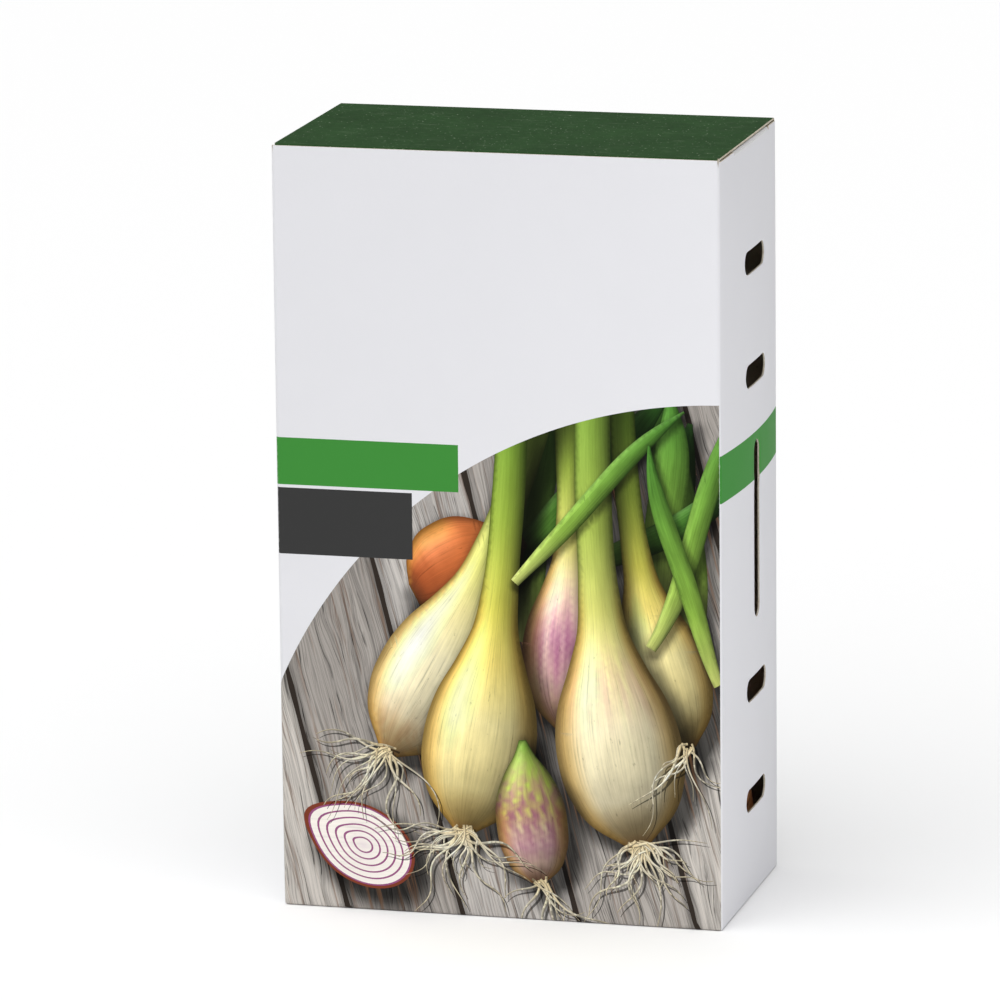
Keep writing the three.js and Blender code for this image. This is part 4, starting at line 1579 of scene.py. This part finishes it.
    def ink(self, corners: np.ndarray) -> tuple[np.ndarray, np.ndarray, np.ndarray]:
        """Colours every corner of the print.

        Args:
            corners: the flat corners of each triangle.

        Returns:
            Display colours, grain coordinates and texture amounts, for each corner of each triangle.
        """
        art, count = self.print, len(corners)
        middles = corners.mean(1)
        colour = np.tile(np.array(art.board_ink), (count, 3, 1))
        grain, texture = corners.copy(), np.zeros((count, 3, 3))
        top = np.where(FlatDrawing.inside(art.picture_outline(), middles), 0, -1)
        ground = np.where(top == 0)[0]
        for number, motif in enumerate(art.motifs[1:], 1):
            top[ground[FlatDrawing.inside(art.clipped(motif.outline), middles[ground])]] = number
        for number, motif in enumerate(art.motifs):
            mine = np.where(top == number)[0]
            if len(mine):
                painted = motif.paint(corners[mine].reshape(-1, 2))
                colour[mine] = painted.colour.reshape(-1, 3, 3)
                grain[mine] = painted.grain.reshape(-1, 3, 2)
                texture[mine] = painted.texture.reshape(-1, 3, 3)
        spots = corners[ground].reshape(-1, 2)
        for number, motif in enumerate(art.motifs):
            dark = motif.shadow(spots)
            if dark is not None:
                under = (top[ground] < number)[:, None]
                colour[ground] *= (1 - np.where(under, dark.reshape(-1, 3), 0))[:, :, None]
        roots = len(art.motifs) - len(art.shades)
        beneath = ground[top[ground] < roots]
        dimmed = np.zeros(len(beneath), bool)
        for shade in art.shades:
            dimmed |= FlatDrawing.inside(art.clipped(shade.outline), middles[beneath])
        colour[beneath[dimmed]] *= art.shade_factor
        for area in art.areas():
            held = FlatDrawing.inside(area.outline, middles)
            colour[held], texture[held] = area.colour, 0
        return colour, grain, texture

    def write_print(
        self, mesh: bpy.types.Mesh, ink: np.ndarray, grain: np.ndarray, texture: np.ndarray
    ) -> None:
        """Writes the print to the mesh. Faces inside and on the cut edges hold plain values.

        Args:
            mesh: the sleeve's mesh, whose first faces are the printed ones.
            ink: display colours, for each corner of each printed triangle.
            grain: grain coordinates, likewise.
            texture: texture amounts, likewise.
        """
        total, printed = len(mesh.loops), 3 * len(ink)
        for name, values in ((self.INK, albedo(ink)), (self.TEXTURE, texture)):
            layer = mesh.color_attributes.new(name, "FLOAT_COLOR", "CORNER")
            full = np.zeros((total, 4), np.float32)
            full[:, 3] = 1
            full[:printed, :3] = values.reshape(-1, 3)
            layer.data.foreach_set("color", full.ravel())
        places = mesh.uv_layers.new(name=self.GRAIN)
        flat = np.zeros((total, 2), np.float32)
        flat[:printed] = grain.reshape(-1, 2)
        places.data.foreach_set("uv", flat.ravel())


@dataclass(frozen=True)
class Sheet:
    """A flat flap of board, with an outside, an inside and cut edges."""

    name: str
    node: str
    body: Body
    slot: str
    outline: np.ndarray
    origin: tuple[float, float, float]
    across: tuple[float, float, float]
    reach: tuple[float, float, float]
    outside: Finish
    board: float = CartonForm.board

    def build(self) -> bpy.types.Object:
        """Makes the flap. Its outline's X runs along across, its Y along reach, and its outside faces their
        cross product."""
        across, reach = np.array(self.across), np.array(self.reach)
        normal = np.cross(across, reach)
        middle = np.array(self.origin) + self.outline[:, :1] * across + self.outline[:, 1:] * reach
        outer, inner = middle + normal * self.board / 2, middle - normal * self.board / 2
        count = len(self.outline)
        faces = [list(range(count)), list(range(2 * count - 1, count - 1, -1))]
        faces += [[k, k + count, (k + 1) % count + count, (k + 1) % count] for k in range(count)]
        slots = [Zone.OUTSIDE, Zone.INSIDE] + [Zone.CUT] * count
        made = make_piece(self.name, np.vstack([outer, inner]), faces, (self.outside, INNER, EDGE), slots)
        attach(made, self.body)
        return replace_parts(made, self.node)


@dataclass(frozen=True)
class Fold:
    """A crease: a strip of board bent round between two bodies."""

    name: str
    still: Body
    moving: Body
    slot: str
    pivot: tuple[float, float, float]
    towards_still: tuple[float, float, float]
    towards_moving: tuple[float, float, float]
    axis: tuple[float, float, float]
    span: tuple[float, float]
    outside: Finish
    form: CartonForm
    narrowing: float = 0.0
    overlap: float = 0.15
    tuck: float = 0.03
    facets: int = 10
    stations: int = 16

    def ring(self) -> np.ndarray:
        """The strip's section: its outer face from the still end, then its inner face back."""
        pivot, leg = np.array(self.pivot), self.form.crease_gap
        first, second = np.array(self.towards_still), np.array(self.towards_moving)
        opening = math.acos(float(np.clip(first @ second, -1, 1)))
        bisector = (first + second) / np.linalg.norm(first + second)
        centre = pivot + bisector * leg / math.cos(opening / 2)
        radius = leg * math.tan(opening / 2)
        start, finish = (pivot + first * leg - centre) / radius, (pivot + second * leg - centre) / radius
        sweep = math.acos(float(np.clip(start @ finish, -1, 1)))
        turns = np.linspace(0, sweep, self.facets + 1)
        ray = (np.sin(sweep - turns)[:, None] * start + np.sin(turns)[:, None] * finish) / math.sin(sweep)
        middle = centre + ray * radius
        middle = np.vstack([middle[:1] + first * self.overlap, middle, middle[-1:] + second * self.overlap])
        half = np.full((len(middle), 1), self.form.board / 2)
        half[[0, -1]] -= self.tuck
        ray = np.vstack([ray[:1], ray, ray[-1:]]) * half
        return np.vstack([middle + ray, (middle - ray)[::-1]])

    def build(self) -> bpy.types.Object:
        """Makes the strip."""
        pivot, axis, leg = np.array(self.pivot), np.array(self.axis), self.form.crease_gap
        ring = self.ring()
        size, count = len(ring), self.stations
        points = np.vstack([ring + axis * place for place in np.linspace(*self.span, count)])
        fade = np.clip((points - pivot) @ np.array(self.towards_still) / leg, 0, 1)
        points += (self.form.bowed(points) - points) * fade[:, None]
        onward = np.clip((points - pivot) @ np.array(self.towards_moving) / leg, 0, 1)
        points -= ((points - pivot) @ axis * onward)[:, None] * axis * self.narrowing / self.span[1]
        faces, slots = [], []
        half = size // 2
        for k in range(size):
            zone = Zone.OUTSIDE if k < half - 1 else Zone.INSIDE if half <= k < size - 1 else Zone.CUT
            for row in range(count - 1):
                a, b = row * size + k, row * size + (k + 1) % size
                faces.append([a, b, b + size, a + size])
                slots.append(zone)
        for row, turned in ((0, True), (count - 1, False)):
            for k in range(half - 1):
                end = [row * size + n for n in (k, k + 1, size - 2 - k, size - 1 - k)]
                faces.append(end[::-1] if turned else end)
                slots.append(Zone.CUT)
        made = make_piece(self.name, points, faces, (self.outside, INNER, EDGE), slots)
        self.face_out(made.data)
        (pivot + np.array(self.towards_still) * leg) * MM
        (pivot + np.array(self.towards_moving) * leg) * MM
        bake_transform(made)
        return made

    @staticmethod
    def face_out(mesh: bpy.types.Mesh) -> None:
        """Turns the mesh the right way round if its volume is negative."""
        volume = 0.0
        for face in mesh.polygons:
            corners = [mesh.vertices[k].co for k in face.vertices]
            for second, third in zip(corners[1:-1], corners[2:]):
                volume += corners[0].dot(second.cross(third))
        if volume < 0:
            mesh.flip_normals()


def rounded(corners: Sequence[tuple[float, float, float]], facets: int = 8) -> np.ndarray:
    """A closed outline with rounded corners.

    Args:
        corners: (x, y, radius) of each corner in turn.
        facets: facets round a corner.

    Returns:
        The outline's points.
    """
    places = np.array([c[:2] for c in corners], float)
    made = []
    for k, (_, _, radius) in enumerate(corners):
        here, before, after = places[k], places[k - 1], places[(k + 1) % len(places)]
        if radius <= 0:
            made.append(here)
            continue
        back = (before - here) / np.linalg.norm(before - here)
        on = (after - here) / np.linalg.norm(after - here)
        half = math.acos(float(np.clip(back @ on, -1, 1))) / 2
        length = radius / math.tan(half)
        centre = here + (back + on) / np.linalg.norm(back + on) * radius / math.sin(half)
        first, last = here + back * length - centre, here + on * length - centre
        sweep = math.acos(float(np.clip(first @ last / radius**2, -1, 1)))
        for turn in np.linspace(0, sweep, facets + 1):
            ray = (math.sin(sweep - turn) * first + math.sin(turn) * last) / math.sin(sweep)
            made.append(centre + ray)
    return np.array(made)


@dataclass
class Closure:
    """The carton's top: lid, tuck tongue, two dust flaps, and the folds at their creases."""

    form: CartonForm
    lid_gap: float = 0.3
    lid_corner: float = 0.7
    fold_gap: float = 0.6
    tongue_gap: float = 1.3
    tongue_length: float = 15.0
    tongue_corner: float = 8.0
    tongue_lean: float = 12.0
    dust_front: float = -14.0
    dust_back: float = 21.0
    dust_tip_back: float = 7.0
    dust_reach: float = 36.0
    dust_shoulder: float = 6.0
    dust_corner: float = 5.0
    dust_tip_corner: float = 2.0

    def build(self) -> list[bpy.types.Object]:
        """Makes the whole closure."""
        made = [self.lid(), self.lid_fold(), self.tongue(), self.tongue_fold()]
        for side in Side:
            made += [self.dust_flap(side), self.dust_fold(side)]
        return made

    @property
    def lid_hinge(self) -> float:
        """Y of the lid's crease."""
        return self.form.depth / 2 - self.form.board / 2

    @property
    def tongue_hinge(self) -> float:
        """Y of the tongue's crease."""
        return -(self.form.depth / 2 - 1.5 * self.form.board - self.form.slack)

    def tab(self, half: float, end: float, corner: float) -> np.ndarray:
        """Outline of a flap from where its crease ends to its far edge, with two rounded corners."""
        start = self.form.crease_gap
        return rounded([(-half, start, 0), (half, start, 0), (half, end, corner), (-half, end, corner)])

    def lid(self) -> bpy.types.Object:
        """The green lid."""
        form = self.form
        half = form.width / 2 - self.lid_gap
        outline = self.tab(half, self.lid_hinge - self.tongue_hinge - form.crease_gap, self.lid_corner)
        return Sheet("green_lid", "top_lid", Body.LID, "green_board", outline,
                     (0, self.lid_hinge, form.lid_middle), (-1, 0, 0), (0, -1, 0), GREEN).build()

    def lid_fold(self) -> bpy.types.Object:
        """The crease between the back panel and the lid."""
        half = self.form.width / 2 - self.lid_gap
        pivot = (0, self.lid_hinge, self.form.lid_middle)
        return Fold("lid_fold", Body.CARTON, Body.LID, "green_board", pivot, (0, 0, -1), (0, -1, 0),
                    (1, 0, 0), (-half, half), GREEN, self.form).build()

    def lean(self) -> tuple[float, float, float]:
        """The way that the tucked tongue points."""
        turn = math.radians(self.tongue_lean)
        return (0, math.sin(turn), -math.cos(turn))

    def tongue(self) -> bpy.types.Object:
        """The tongue, tucked in behind the front panel."""
        form = self.form
        half = form.width / 2 - self.tongue_gap
        outline = self.tab(half, self.tongue_length, self.tongue_corner)
        return Sheet("green_tongue", "tuck_tongue", Body.TONGUE, "green_board", outline,
                     (0, self.tongue_hinge, form.lid_middle), (-1, 0, 0), self.lean(), GREEN).build()

    def tongue_fold(self) -> bpy.types.Object:
        """The crease between the lid and the tongue."""
        half = self.form.width / 2 - self.fold_gap
        pivot = (0, self.tongue_hinge, self.form.lid_middle)
        return Fold("tongue_fold", Body.LID, Body.TONGUE, "green_board", pivot, (0, 1, 0), self.lean(),
                    (1, 0, 0), (-half, half), GREEN, self.form, self.tongue_gap - self.fold_gap).build()

    def dust_pivot(self, side: Side) -> tuple[float, float, float]:
        """A point on the crease of that side's dust flap."""
        return (side * (self.form.width / 2 - self.form.board / 2), 0, self.form.dust_flap_middle)

    def dust_flap(self, side: Side) -> bpy.types.Object:
        """A dust flap, folded in under the lid."""
        start, tip, bend = self.form.crease_gap, self.dust_reach, self.dust_tip_corner
        outline = rounded([
            (self.dust_front, start, 0), (self.dust_front, tip, self.dust_corner),
            (self.dust_tip_back, tip, bend), (self.dust_back, self.dust_shoulder, bend),
            (self.dust_back, start, 0),
        ])
        outline = outline if side > 0 else outline[::-1]
        node = f"{side.word}_dust_flap"
        flipped = outline * np.array([side, 1])
        return Sheet(f"{side.word}_dust_board", node, Body(node), "plain_board", flipped,
                     self.dust_pivot(side), (0, side, 0), (-side, 0, 0), COATED).build()

    def dust_fold(self, side: Side) -> bpy.types.Object:
        """The crease between a side panel and its dust flap."""
        body = Body(f"{side.word}_dust_flap")
        return Fold(f"{side.word}_dust_fold", Body.CARTON, body, "plain_board", self.dust_pivot(side),
                    (0, 0, -1), (-side, 0, 0), (0, 1, 0), (self.dust_front, self.dust_back),
                    COATED, self.form).build()


@dataclass
class Bottom:
    """The glued bottom and the glue flap inside the back left corner."""

    form: CartonForm
    inner_reach: float = 40.0
    dust_reach: float = 35.0
    dust_taper: float = 9.0
    glue_width: float = 12.0
    glue_end: float = 4.0
    glue_taper: float = 4.0
    glue_rows: int = 40
    glue_columns: int = 8

    def build(self) -> list[bpy.types.Object]:
        """Makes the bottom flaps and the glue flap."""
        form = self.form
        half, wall = form.width / 2 - form.board - form.slack, form.depth / 2 - form.board - form.slack
        edge = wall - self.inner_reach
        outer = np.array([(-half, -wall), (half, -wall), (half, wall), (-half, wall)])
        inner = np.array([(-half, edge), (half, edge), (half, wall), (-half, wall)])
        made = [self.flap("outer_bottom_board", "outer_bottom_flap", outer, 0)]
        made.append(self.flap("inner_bottom_board", "inner_bottom_flap", inner, 1))
        for side in Side:
            tip, end = wall - self.dust_taper, side * (half - self.dust_reach)
            outline = np.array([(side * half, -wall), (side * half, wall), (end, tip), (end, -tip)])
            outline = outline if side > 0 else outline[::-1]
            name = f"{side.word}_bottom_dust"
            made.append(self.flap(f"{name}_board", f"{name}_flap", outline, 2))
        return [*made, self.glue_flap()]

    def flap(self, name: str, node: str, outline: np.ndarray, layer: int) -> bpy.types.Object:
        """One bottom flap, with its coated side down.

        Args:
            name: the piece's name.
            node: the solid that it replaces.
            outline: its outline in plan.
            layer: how many flaps lie under it.

        Returns:
            The flap.
        """
        form = self.form
        level = form.board / 2 + layer * (form.board + form.slack)
        mirrored = outline * np.array([1, -1])
        return Sheet(name, node, Body.CARTON, "plain_board", mirrored, (0, 0, level),
                     (1, 0, 0), (0, -1, 0), COATED).build()

    def glue_flap(self) -> bpy.types.Object:
        """The strip that closes the sleeve, inside the left panel."""
        form = self.form
        back = form.depth / 2 - form.board - form.slack
        outer_inset = form.board + form.slack
        rows, columns = self.glue_rows, self.glue_columns
        points, faces, slots = [], [], []
        for inset in (outer_inset, outer_inset + form.board):
            for row in range(rows + 1):
                for column in range(columns + 1):
                    share = column / columns
                    y = back - self.glue_width * share
                    half = form.height / 2 - self.glue_end - self.glue_taper * share
                    z = form.height / 2 + half * math.sin(math.pi * (row / rows - 0.5))
                    points.append((-(form.width / 2 - inset), y, z))
        bent = form.bowed(np.array(points))
        size = (rows + 1) * (columns + 1)
        edge = []
        for row in range(rows):
            for column in range(columns):
                a = row * (columns + 1) + column
                quad = [a, a + 1, a + columns + 2, a + columns + 1]
                faces += [quad, [k + size for k in quad[::-1]]]
                slots += [Zone.OUTSIDE, Zone.INSIDE]
                edge += [(quad[k], quad[(k + 1) % 4]) for k in range(4)]
        lone = lone_edges(edge)
        faces += [[a, a + size, b + size, b] for a, b in lone]
        slots += [Zone.CUT] * len(lone)
        made = make_piece("glue_strip", bent, faces, (COATED, INNER, EDGE), slots)
        Fold.face_out(made.data)
        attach(made, Body.CARTON)
        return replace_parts(made, "glue_flap")


@dataclass
class ShallotFill:
    """The shallot sets inside, each grown by one Geometry Nodes tree where its solid lies."""

    rings: int = 48
    sides: int = 72
    seed: int = 3
    spacing: float = 31.0
    roots: int = 26
    root_lean: float = 0.9
    weld: float = 1e-6
    profile: tuple[tuple[float, float], ...] = (
        (0.0, 0.0), (0.012, 0.2), (0.05, 0.46), (0.13, 0.72), (0.3, 0.96), (0.42, 0.985), (0.55, 0.88),
        (0.7, 0.62), (0.83, 0.33), (0.93, 0.17), (0.985, 0.12), (1.0, 0.0),
    )

    BODY = "body_place"
    SHARE = "body_share"

    def build(self) -> list[bpy.types.Object]:
        """Makes a finer shallot for each solid."""
        tree, inputs = self.tree()
        rng = np.random.default_rng(self.seed)
        names = sorted(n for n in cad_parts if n.startswith("shallot_bulb_"))
        return [self.shallot(tree, inputs, name, rng) for name in names]

    @staticmethod
    def pose(node: str) -> tuple[Matrix, float, float]:
        """Where a solid lies.

        Args:
            node: the solid's name.

        Returns:
            The transform from the grown shallot's own frame in metres, its length and its radius.
        """
        points = np.array([v.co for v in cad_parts[node].data.vertices])
        points = np.unique(np.round(points, 7), axis=0)
        middle = points.mean(0)
        _, _, axes = np.linalg.svd(points - middle)
        axis = axes[0]
        heights = (points - middle) @ axis
        radii = np.linalg.norm((points - middle) - heights[:, None] * axis, axis=1)
        low, high = radii[heights < heights.min() + 1e-4].max(), radii[heights > heights.max() - 1e-4].max()
        if low < high:
            axis, heights = -axis, -heights
        base = middle + axis * heights.min()
        turn = Vector((0, 1, 0)).rotation_difference(Vector(axis))
        place = Matrix.Translation(base) @ turn.to_matrix().to_4x4()
        return place, float(np.ptp(heights)), float(radii.max())

    def shallot(
        self, tree: bpy.types.NodeTree, inputs: dict[str, str], node: str, rng: np.random.Generator
    ) -> bpy.types.Object:
        """Grows one shallot and puts it in place of its solid.

        Args:
            tree: the tree that grows it.
            inputs: the identifier of each of the tree's inputs.
            node: the solid's name.
            rng: the source of its seed and its lean.

        Returns:
            The shallot.
        """
        place, length, radius = self.pose(node)
        seedling = link_object("seedling", bpy.data.meshes.new("seedling"))
        modifier = seedling.modifiers.new("grow", "NODES")
        modifier.node_group = tree
        values = {"Length": length, "Radius": radius, "Seed": int(rng.integers(1, 999)),
                  "Lean": float(rng.uniform(-0.06, 0.06))}
        for name, value in values.items():
            modifier[inputs[name]] = value
        grown = bpy.data.meshes.new_from_object(seedling.evaluated_get(bpy.context.evaluated_depsgraph_get()))
        bpy.data.objects.remove(seedling)
        grown.transform(place)
        name = node.replace("shallot_bulb", "shallot")
        grown.name = name
        made = link_object(name, grown)
        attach(made, Body.CARTON)
        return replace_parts(made, node)

    def tree(self) -> tuple[bpy.types.NodeTree, dict[str, str]]:
        """Builds the tree that grows a shallot from its root plate at the origin along +Y.

        Returns:
            The tree, and the identifier of each of its named inputs.
        """
        tree = bpy.data.node_groups.new("grow_shallot", "GeometryNodeTree")
        kinds = {"Length": "NodeSocketFloat", "Radius": "NodeSocketFloat", "Seed": "NodeSocketInt",
                 "Lean": "NodeSocketFloat"}
        sockets = {n: tree.interface.new_socket(n, in_out="INPUT", socket_type=k) for n, k in kinds.items()}
        tree.interface.new_socket("Geometry", in_out="OUTPUT", socket_type="NodeSocketGeometry")
        board = NodeBoard(tree)
        given = board.node("NodeGroupInput")
        bulb = self.bulb_part(board, given)
        tuft = self.tuft_part(board, given)
        joined = board.node("GeometryNodeJoinGeometry")
        for part in (tuft, bulb):
            tree.links.new(part.socket, joined.node.inputs[0])
        real = board.node("GeometryNodeRealizeInstances", None, {"Geometry": joined["Geometry"]})
        board.node("NodeGroupOutput", None, {"Geometry": real["Geometry"]})
        return tree, {name: socket.identifier for name, socket in sockets.items()}

    def bulb_part(self, board: NodeBoard, given: Placed) -> Wire:
        """The ribbed bulb with its dried neck."""
        sizes = {"Size X": 1.0, "Size Y": 1.0, "Vertices X": self.sides + 1, "Vertices Y": self.rings + 1}
        grid = board.node("GeometryNodeMeshGrid", None, sizes)["Mesh"]
        x, y, _ = board.parts(board.node("GeometryNodeInputPosition")["Position"])
        turn, share = (x + 0.5) * (2 * math.pi), y + 0.5
        reach = board.node("ShaderNodeFloatCurve", {"curve": self.profile}, {"Value": share})["Value"]
        across, up = board.math("COSINE", turn), board.math("SINE", turn)
        spot = board.vector(across, share * 0.6, up)
        noise = {"noise_dimensions": "4D"}
        sockets = {"Vector": spot, "W": given["Seed"] * 1.7, "Scale": 1.3, "Detail": 3.0}
        lumps = board.node("ShaderNodeTexNoise", noise, sockets)["Fac"]
        ribs = (turn * 11 + lumps * 9).sine() * 0.012 + (turn * 23 + lumps * 14).sine() * 0.006
        neck = share.rising(0.72, 1.0)
        reach = reach * given["Radius"] * (0.985 + (lumps - 0.5) * 0.05 + ribs * (1 + neck * 9))
        bow = neck * neck * given["Lean"] * given["Length"]
        body = board.vector(across * reach + bow, share * given["Length"], up * reach)
        around, apart = given["Radius"] / MM, given["Seed"] * self.spacing
        skin_place = board.vector(across * around + apart, share * given["Length"] / MM, up * around + apart)
        kept = self.store(board, grid, self.BODY, "FLOAT_VECTOR", skin_place)
        kept = self.store(board, kept, self.SHARE, "FLOAT", share)
        placed = board.node("GeometryNodeSetPosition", None, {"Geometry": kept, "Position": body})["Geometry"]
        sockets = {"Geometry": placed, "Distance": self.weld}
        merged = board.node("GeometryNodeMergeByDistance", None, sockets)["Geometry"]
        smooth = board.node("GeometryNodeSetShadeSmooth", None, {"Geometry": merged})["Geometry"]
        sockets = {"Geometry": smooth, "Material": SKIN.material()}
        return board.node("GeometryNodeSetMaterial", None, sockets)["Geometry"]

    @staticmethod
    def store(board: NodeBoard, geometry: Wire, name: str, kind: str, value: Wire) -> Wire:
        """Keeps a value on the points under a name."""
        settings = {"data_type": kind, "domain": "POINT"}
        sockets = {"Geometry": geometry, "Name": name, "Value": value}
        return board.node("GeometryNodeStoreNamedAttribute", settings, sockets)["Geometry"]

    def tuft_part(self, board: NodeBoard, given: Placed) -> Wire:
        """A tuft of short dried roots on the root plate."""
        line = board.node("GeometryNodeCurvePrimitiveLine", None, {"End": (0, -1, 0)})["Curve"]
        line = board.node("GeometryNodeResampleCurve", None, {"Curve": line, "Count": 7})["Curve"]
        share = board.node("GeometryNodeSplineParameter")["Factor"]
        sway = board.vector((share * 4).sine() * 0.2, 0, (share * 3 + 1).sine() * 0.24)
        line = board.node("GeometryNodeSetPosition", None, {"Geometry": line, "Offset": sway})["Geometry"]
        sockets = {"Curve": line, "Radius": 1.05 - share}
        line = board.node("GeometryNodeSetCurveRadius", None, sockets)["Curve"]
        sockets = {"Resolution": 4, "Radius": 0.05}
        ring = board.node("GeometryNodeCurvePrimitiveCircle", None, sockets)["Curve"]
        sockets = {"Curve": line, "Profile Curve": ring, "Fill Caps": True}
        strand = board.node("GeometryNodeCurveToMesh", None, sockets)["Mesh"]
        index = board.node("GeometryNodeInputIndex")["Index"]
        turn = index * GOLDEN_TURN
        out = board.math("SQRT", index) * 0.042 * given["Radius"]
        spot = board.vector(board.math("COSINE", turn) * out, given["Length"] * 0.01, turn.sine() * out)
        points = board.node("GeometryNodePoints", None, {"Count": self.roots, "Position": spot})["Points"]
        lean = self.root_lean
        low_high = {"Min": (-lean, 0, -lean), "Max": (lean, 6.28, lean), "Seed": given["Seed"]}
        tilt = board.node("FunctionNodeRandomValue", {"data_type": "FLOAT_VECTOR"}, low_high)["Value"]
        rotation = board.node("FunctionNodeEulerToRotation", None, {"Euler": tilt})["Rotation"]
        sizes = {"Min_001": 0.09, "Max_001": 0.2, "Seed": given["Seed"] + 5}
        size = board.node("FunctionNodeRandomValue", {"data_type": "FLOAT"}, sizes)["Value_001"]
        size = size * given["Radius"]
        sockets = {"Points": points, "Instance": strand, "Rotation": rotation, "Scale": size}
        tuft = board.node("GeometryNodeInstanceOnPoints", None, sockets)["Instances"]
        sockets = {"Geometry": tuft, "Material": ROOT.material()}
        return board.node("GeometryNodeSetMaterial", None, sockets)["Geometry"]


@dataclass
class Studio:
    """The floor, the soft light and the camera at the photograph's angle."""

    form: CartonForm
    azimuth: float = 14.89
    elevation: float = 12.72
    roll: float = -0.63
    distance: float = 1717.0
    focal: float = 7373.0
    shift: tuple[float, float] = (-6.75, 2.85)
    frame_side: int = 1000
    sensor: float = 36.0
    fill: float = 0.26
    key_strength: float = 2.85
    key_softness: float = 85.0
    key_from: tuple[float, float, float] = (-0.12, -0.36, 0.9)
    side_from: tuple[float, float, float] = (260, -200, 50)
    side_aim: float = 20.0
    side_size: float = 130.0
    side_power: float = 0.16
    floor_reach: float = 6000.0
    floor_drop: float = 0.1
    clip: tuple[float, float] = (0.05, 50.0)

    def build(self) -> None:
        """Sets the whole studio up."""
        self.floor()
        self.world()
        self.lights()
        self.camera()
        bpy.context.scene.view_settings.view_transform = "Standard"

    def floor(self) -> None:
        """A wide pale floor, a hair below the carton's foot."""
        reach, low = self.floor_reach, -self.floor_drop
        corners = [(-reach, -reach, low), (reach, -reach, low), (reach, reach, low), (-reach, reach, low)]
        make_piece("floor", np.array(corners), [(0, 1, 2, 3)], [FLOOR])

    def world(self) -> None:
        """Even white surroundings."""
        world = bpy.data.worlds.new("studio")
        world.use_nodes = True
        world.node_tree.nodes.clear()
        board = NodeBoard(world.node_tree)
        back = board.node("ShaderNodeBackground", None, {"Color": (1, 1, 1, 1), "Strength": self.fill})
        board.node("ShaderNodeOutputWorld", None, {"Surface": back["Background"]})
        bpy.context.scene.world = world

    def lights(self) -> None:
        """A broad soft key from the front left and above, and a small lamp low on the right."""
        sun = bpy.data.lights.new("key", "SUN")
        sun.angle = math.radians(self.key_softness)
        sun.energy = self.key_strength
        key = link_object("key", sun)
        key.rotation_euler = Vector(self.key_from).to_track_quat("Z", "Y").to_euler()
        lamp = bpy.data.lights.new("side", "AREA")
        lamp.size = self.side_size * MM
        lamp.energy = self.side_power
        side = link_object("side", lamp)
        side.location = Vector(self.side_from) * MM
        aim = Vector((self.form.width / 2, 0, self.side_aim)) * MM - side.location
        side.rotation_euler = aim.to_track_quat("-Z", "Y").to_euler()

    def camera(self) -> None:
        """The camera, from the fit to the carton's corners."""
        a, e, r = (math.radians(v) for v in (self.azimuth, self.elevation, self.roll))
        back = Vector((math.sin(a) * math.cos(e), -math.cos(a) * math.cos(e), math.sin(e)))
        right = Vector((math.cos(a), math.sin(a), 0))
        up = back.cross(right)
        middle = Vector((0, 0, self.form.height / 2))
        spot = middle + back * self.distance + right * self.shift[0] + up * self.shift[1]
        across = right * math.cos(r) + up * math.sin(r)
        upward = up * math.cos(r) - right * math.sin(r)
        lens = bpy.data.cameras.new("camera")
        lens.sensor_width = self.sensor
        lens.lens = self.focal * self.sensor / self.frame_side
        lens.clip_start, lens.clip_end = self.clip
        made = link_object("camera", lens)
        matrix = Matrix((across, upward, back)).transposed().to_4x4()
        matrix.translation = spot * MM
        made.matrix_world = matrix
        bpy.context.scene.camera = made


def main() -> None:
    """Builds the carton and its studio in order."""
    logging.basicConfig(level=logging.INFO, format="%(name)s: %(message)s")
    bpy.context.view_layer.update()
    form = CartonForm.from_frame()
    pieces = [Sleeve(form, FrontPrint(form)).build()]
    pieces += Closure(form).build()
    pieces += Bottom(form).build()
    pieces += ShallotFill().build()
    Studio(form).build()
    for piece in pieces:
        log.info("%s: %d faces", piece.name, len(piece.data.polygons))


if __name__ == "__main__":
    main()
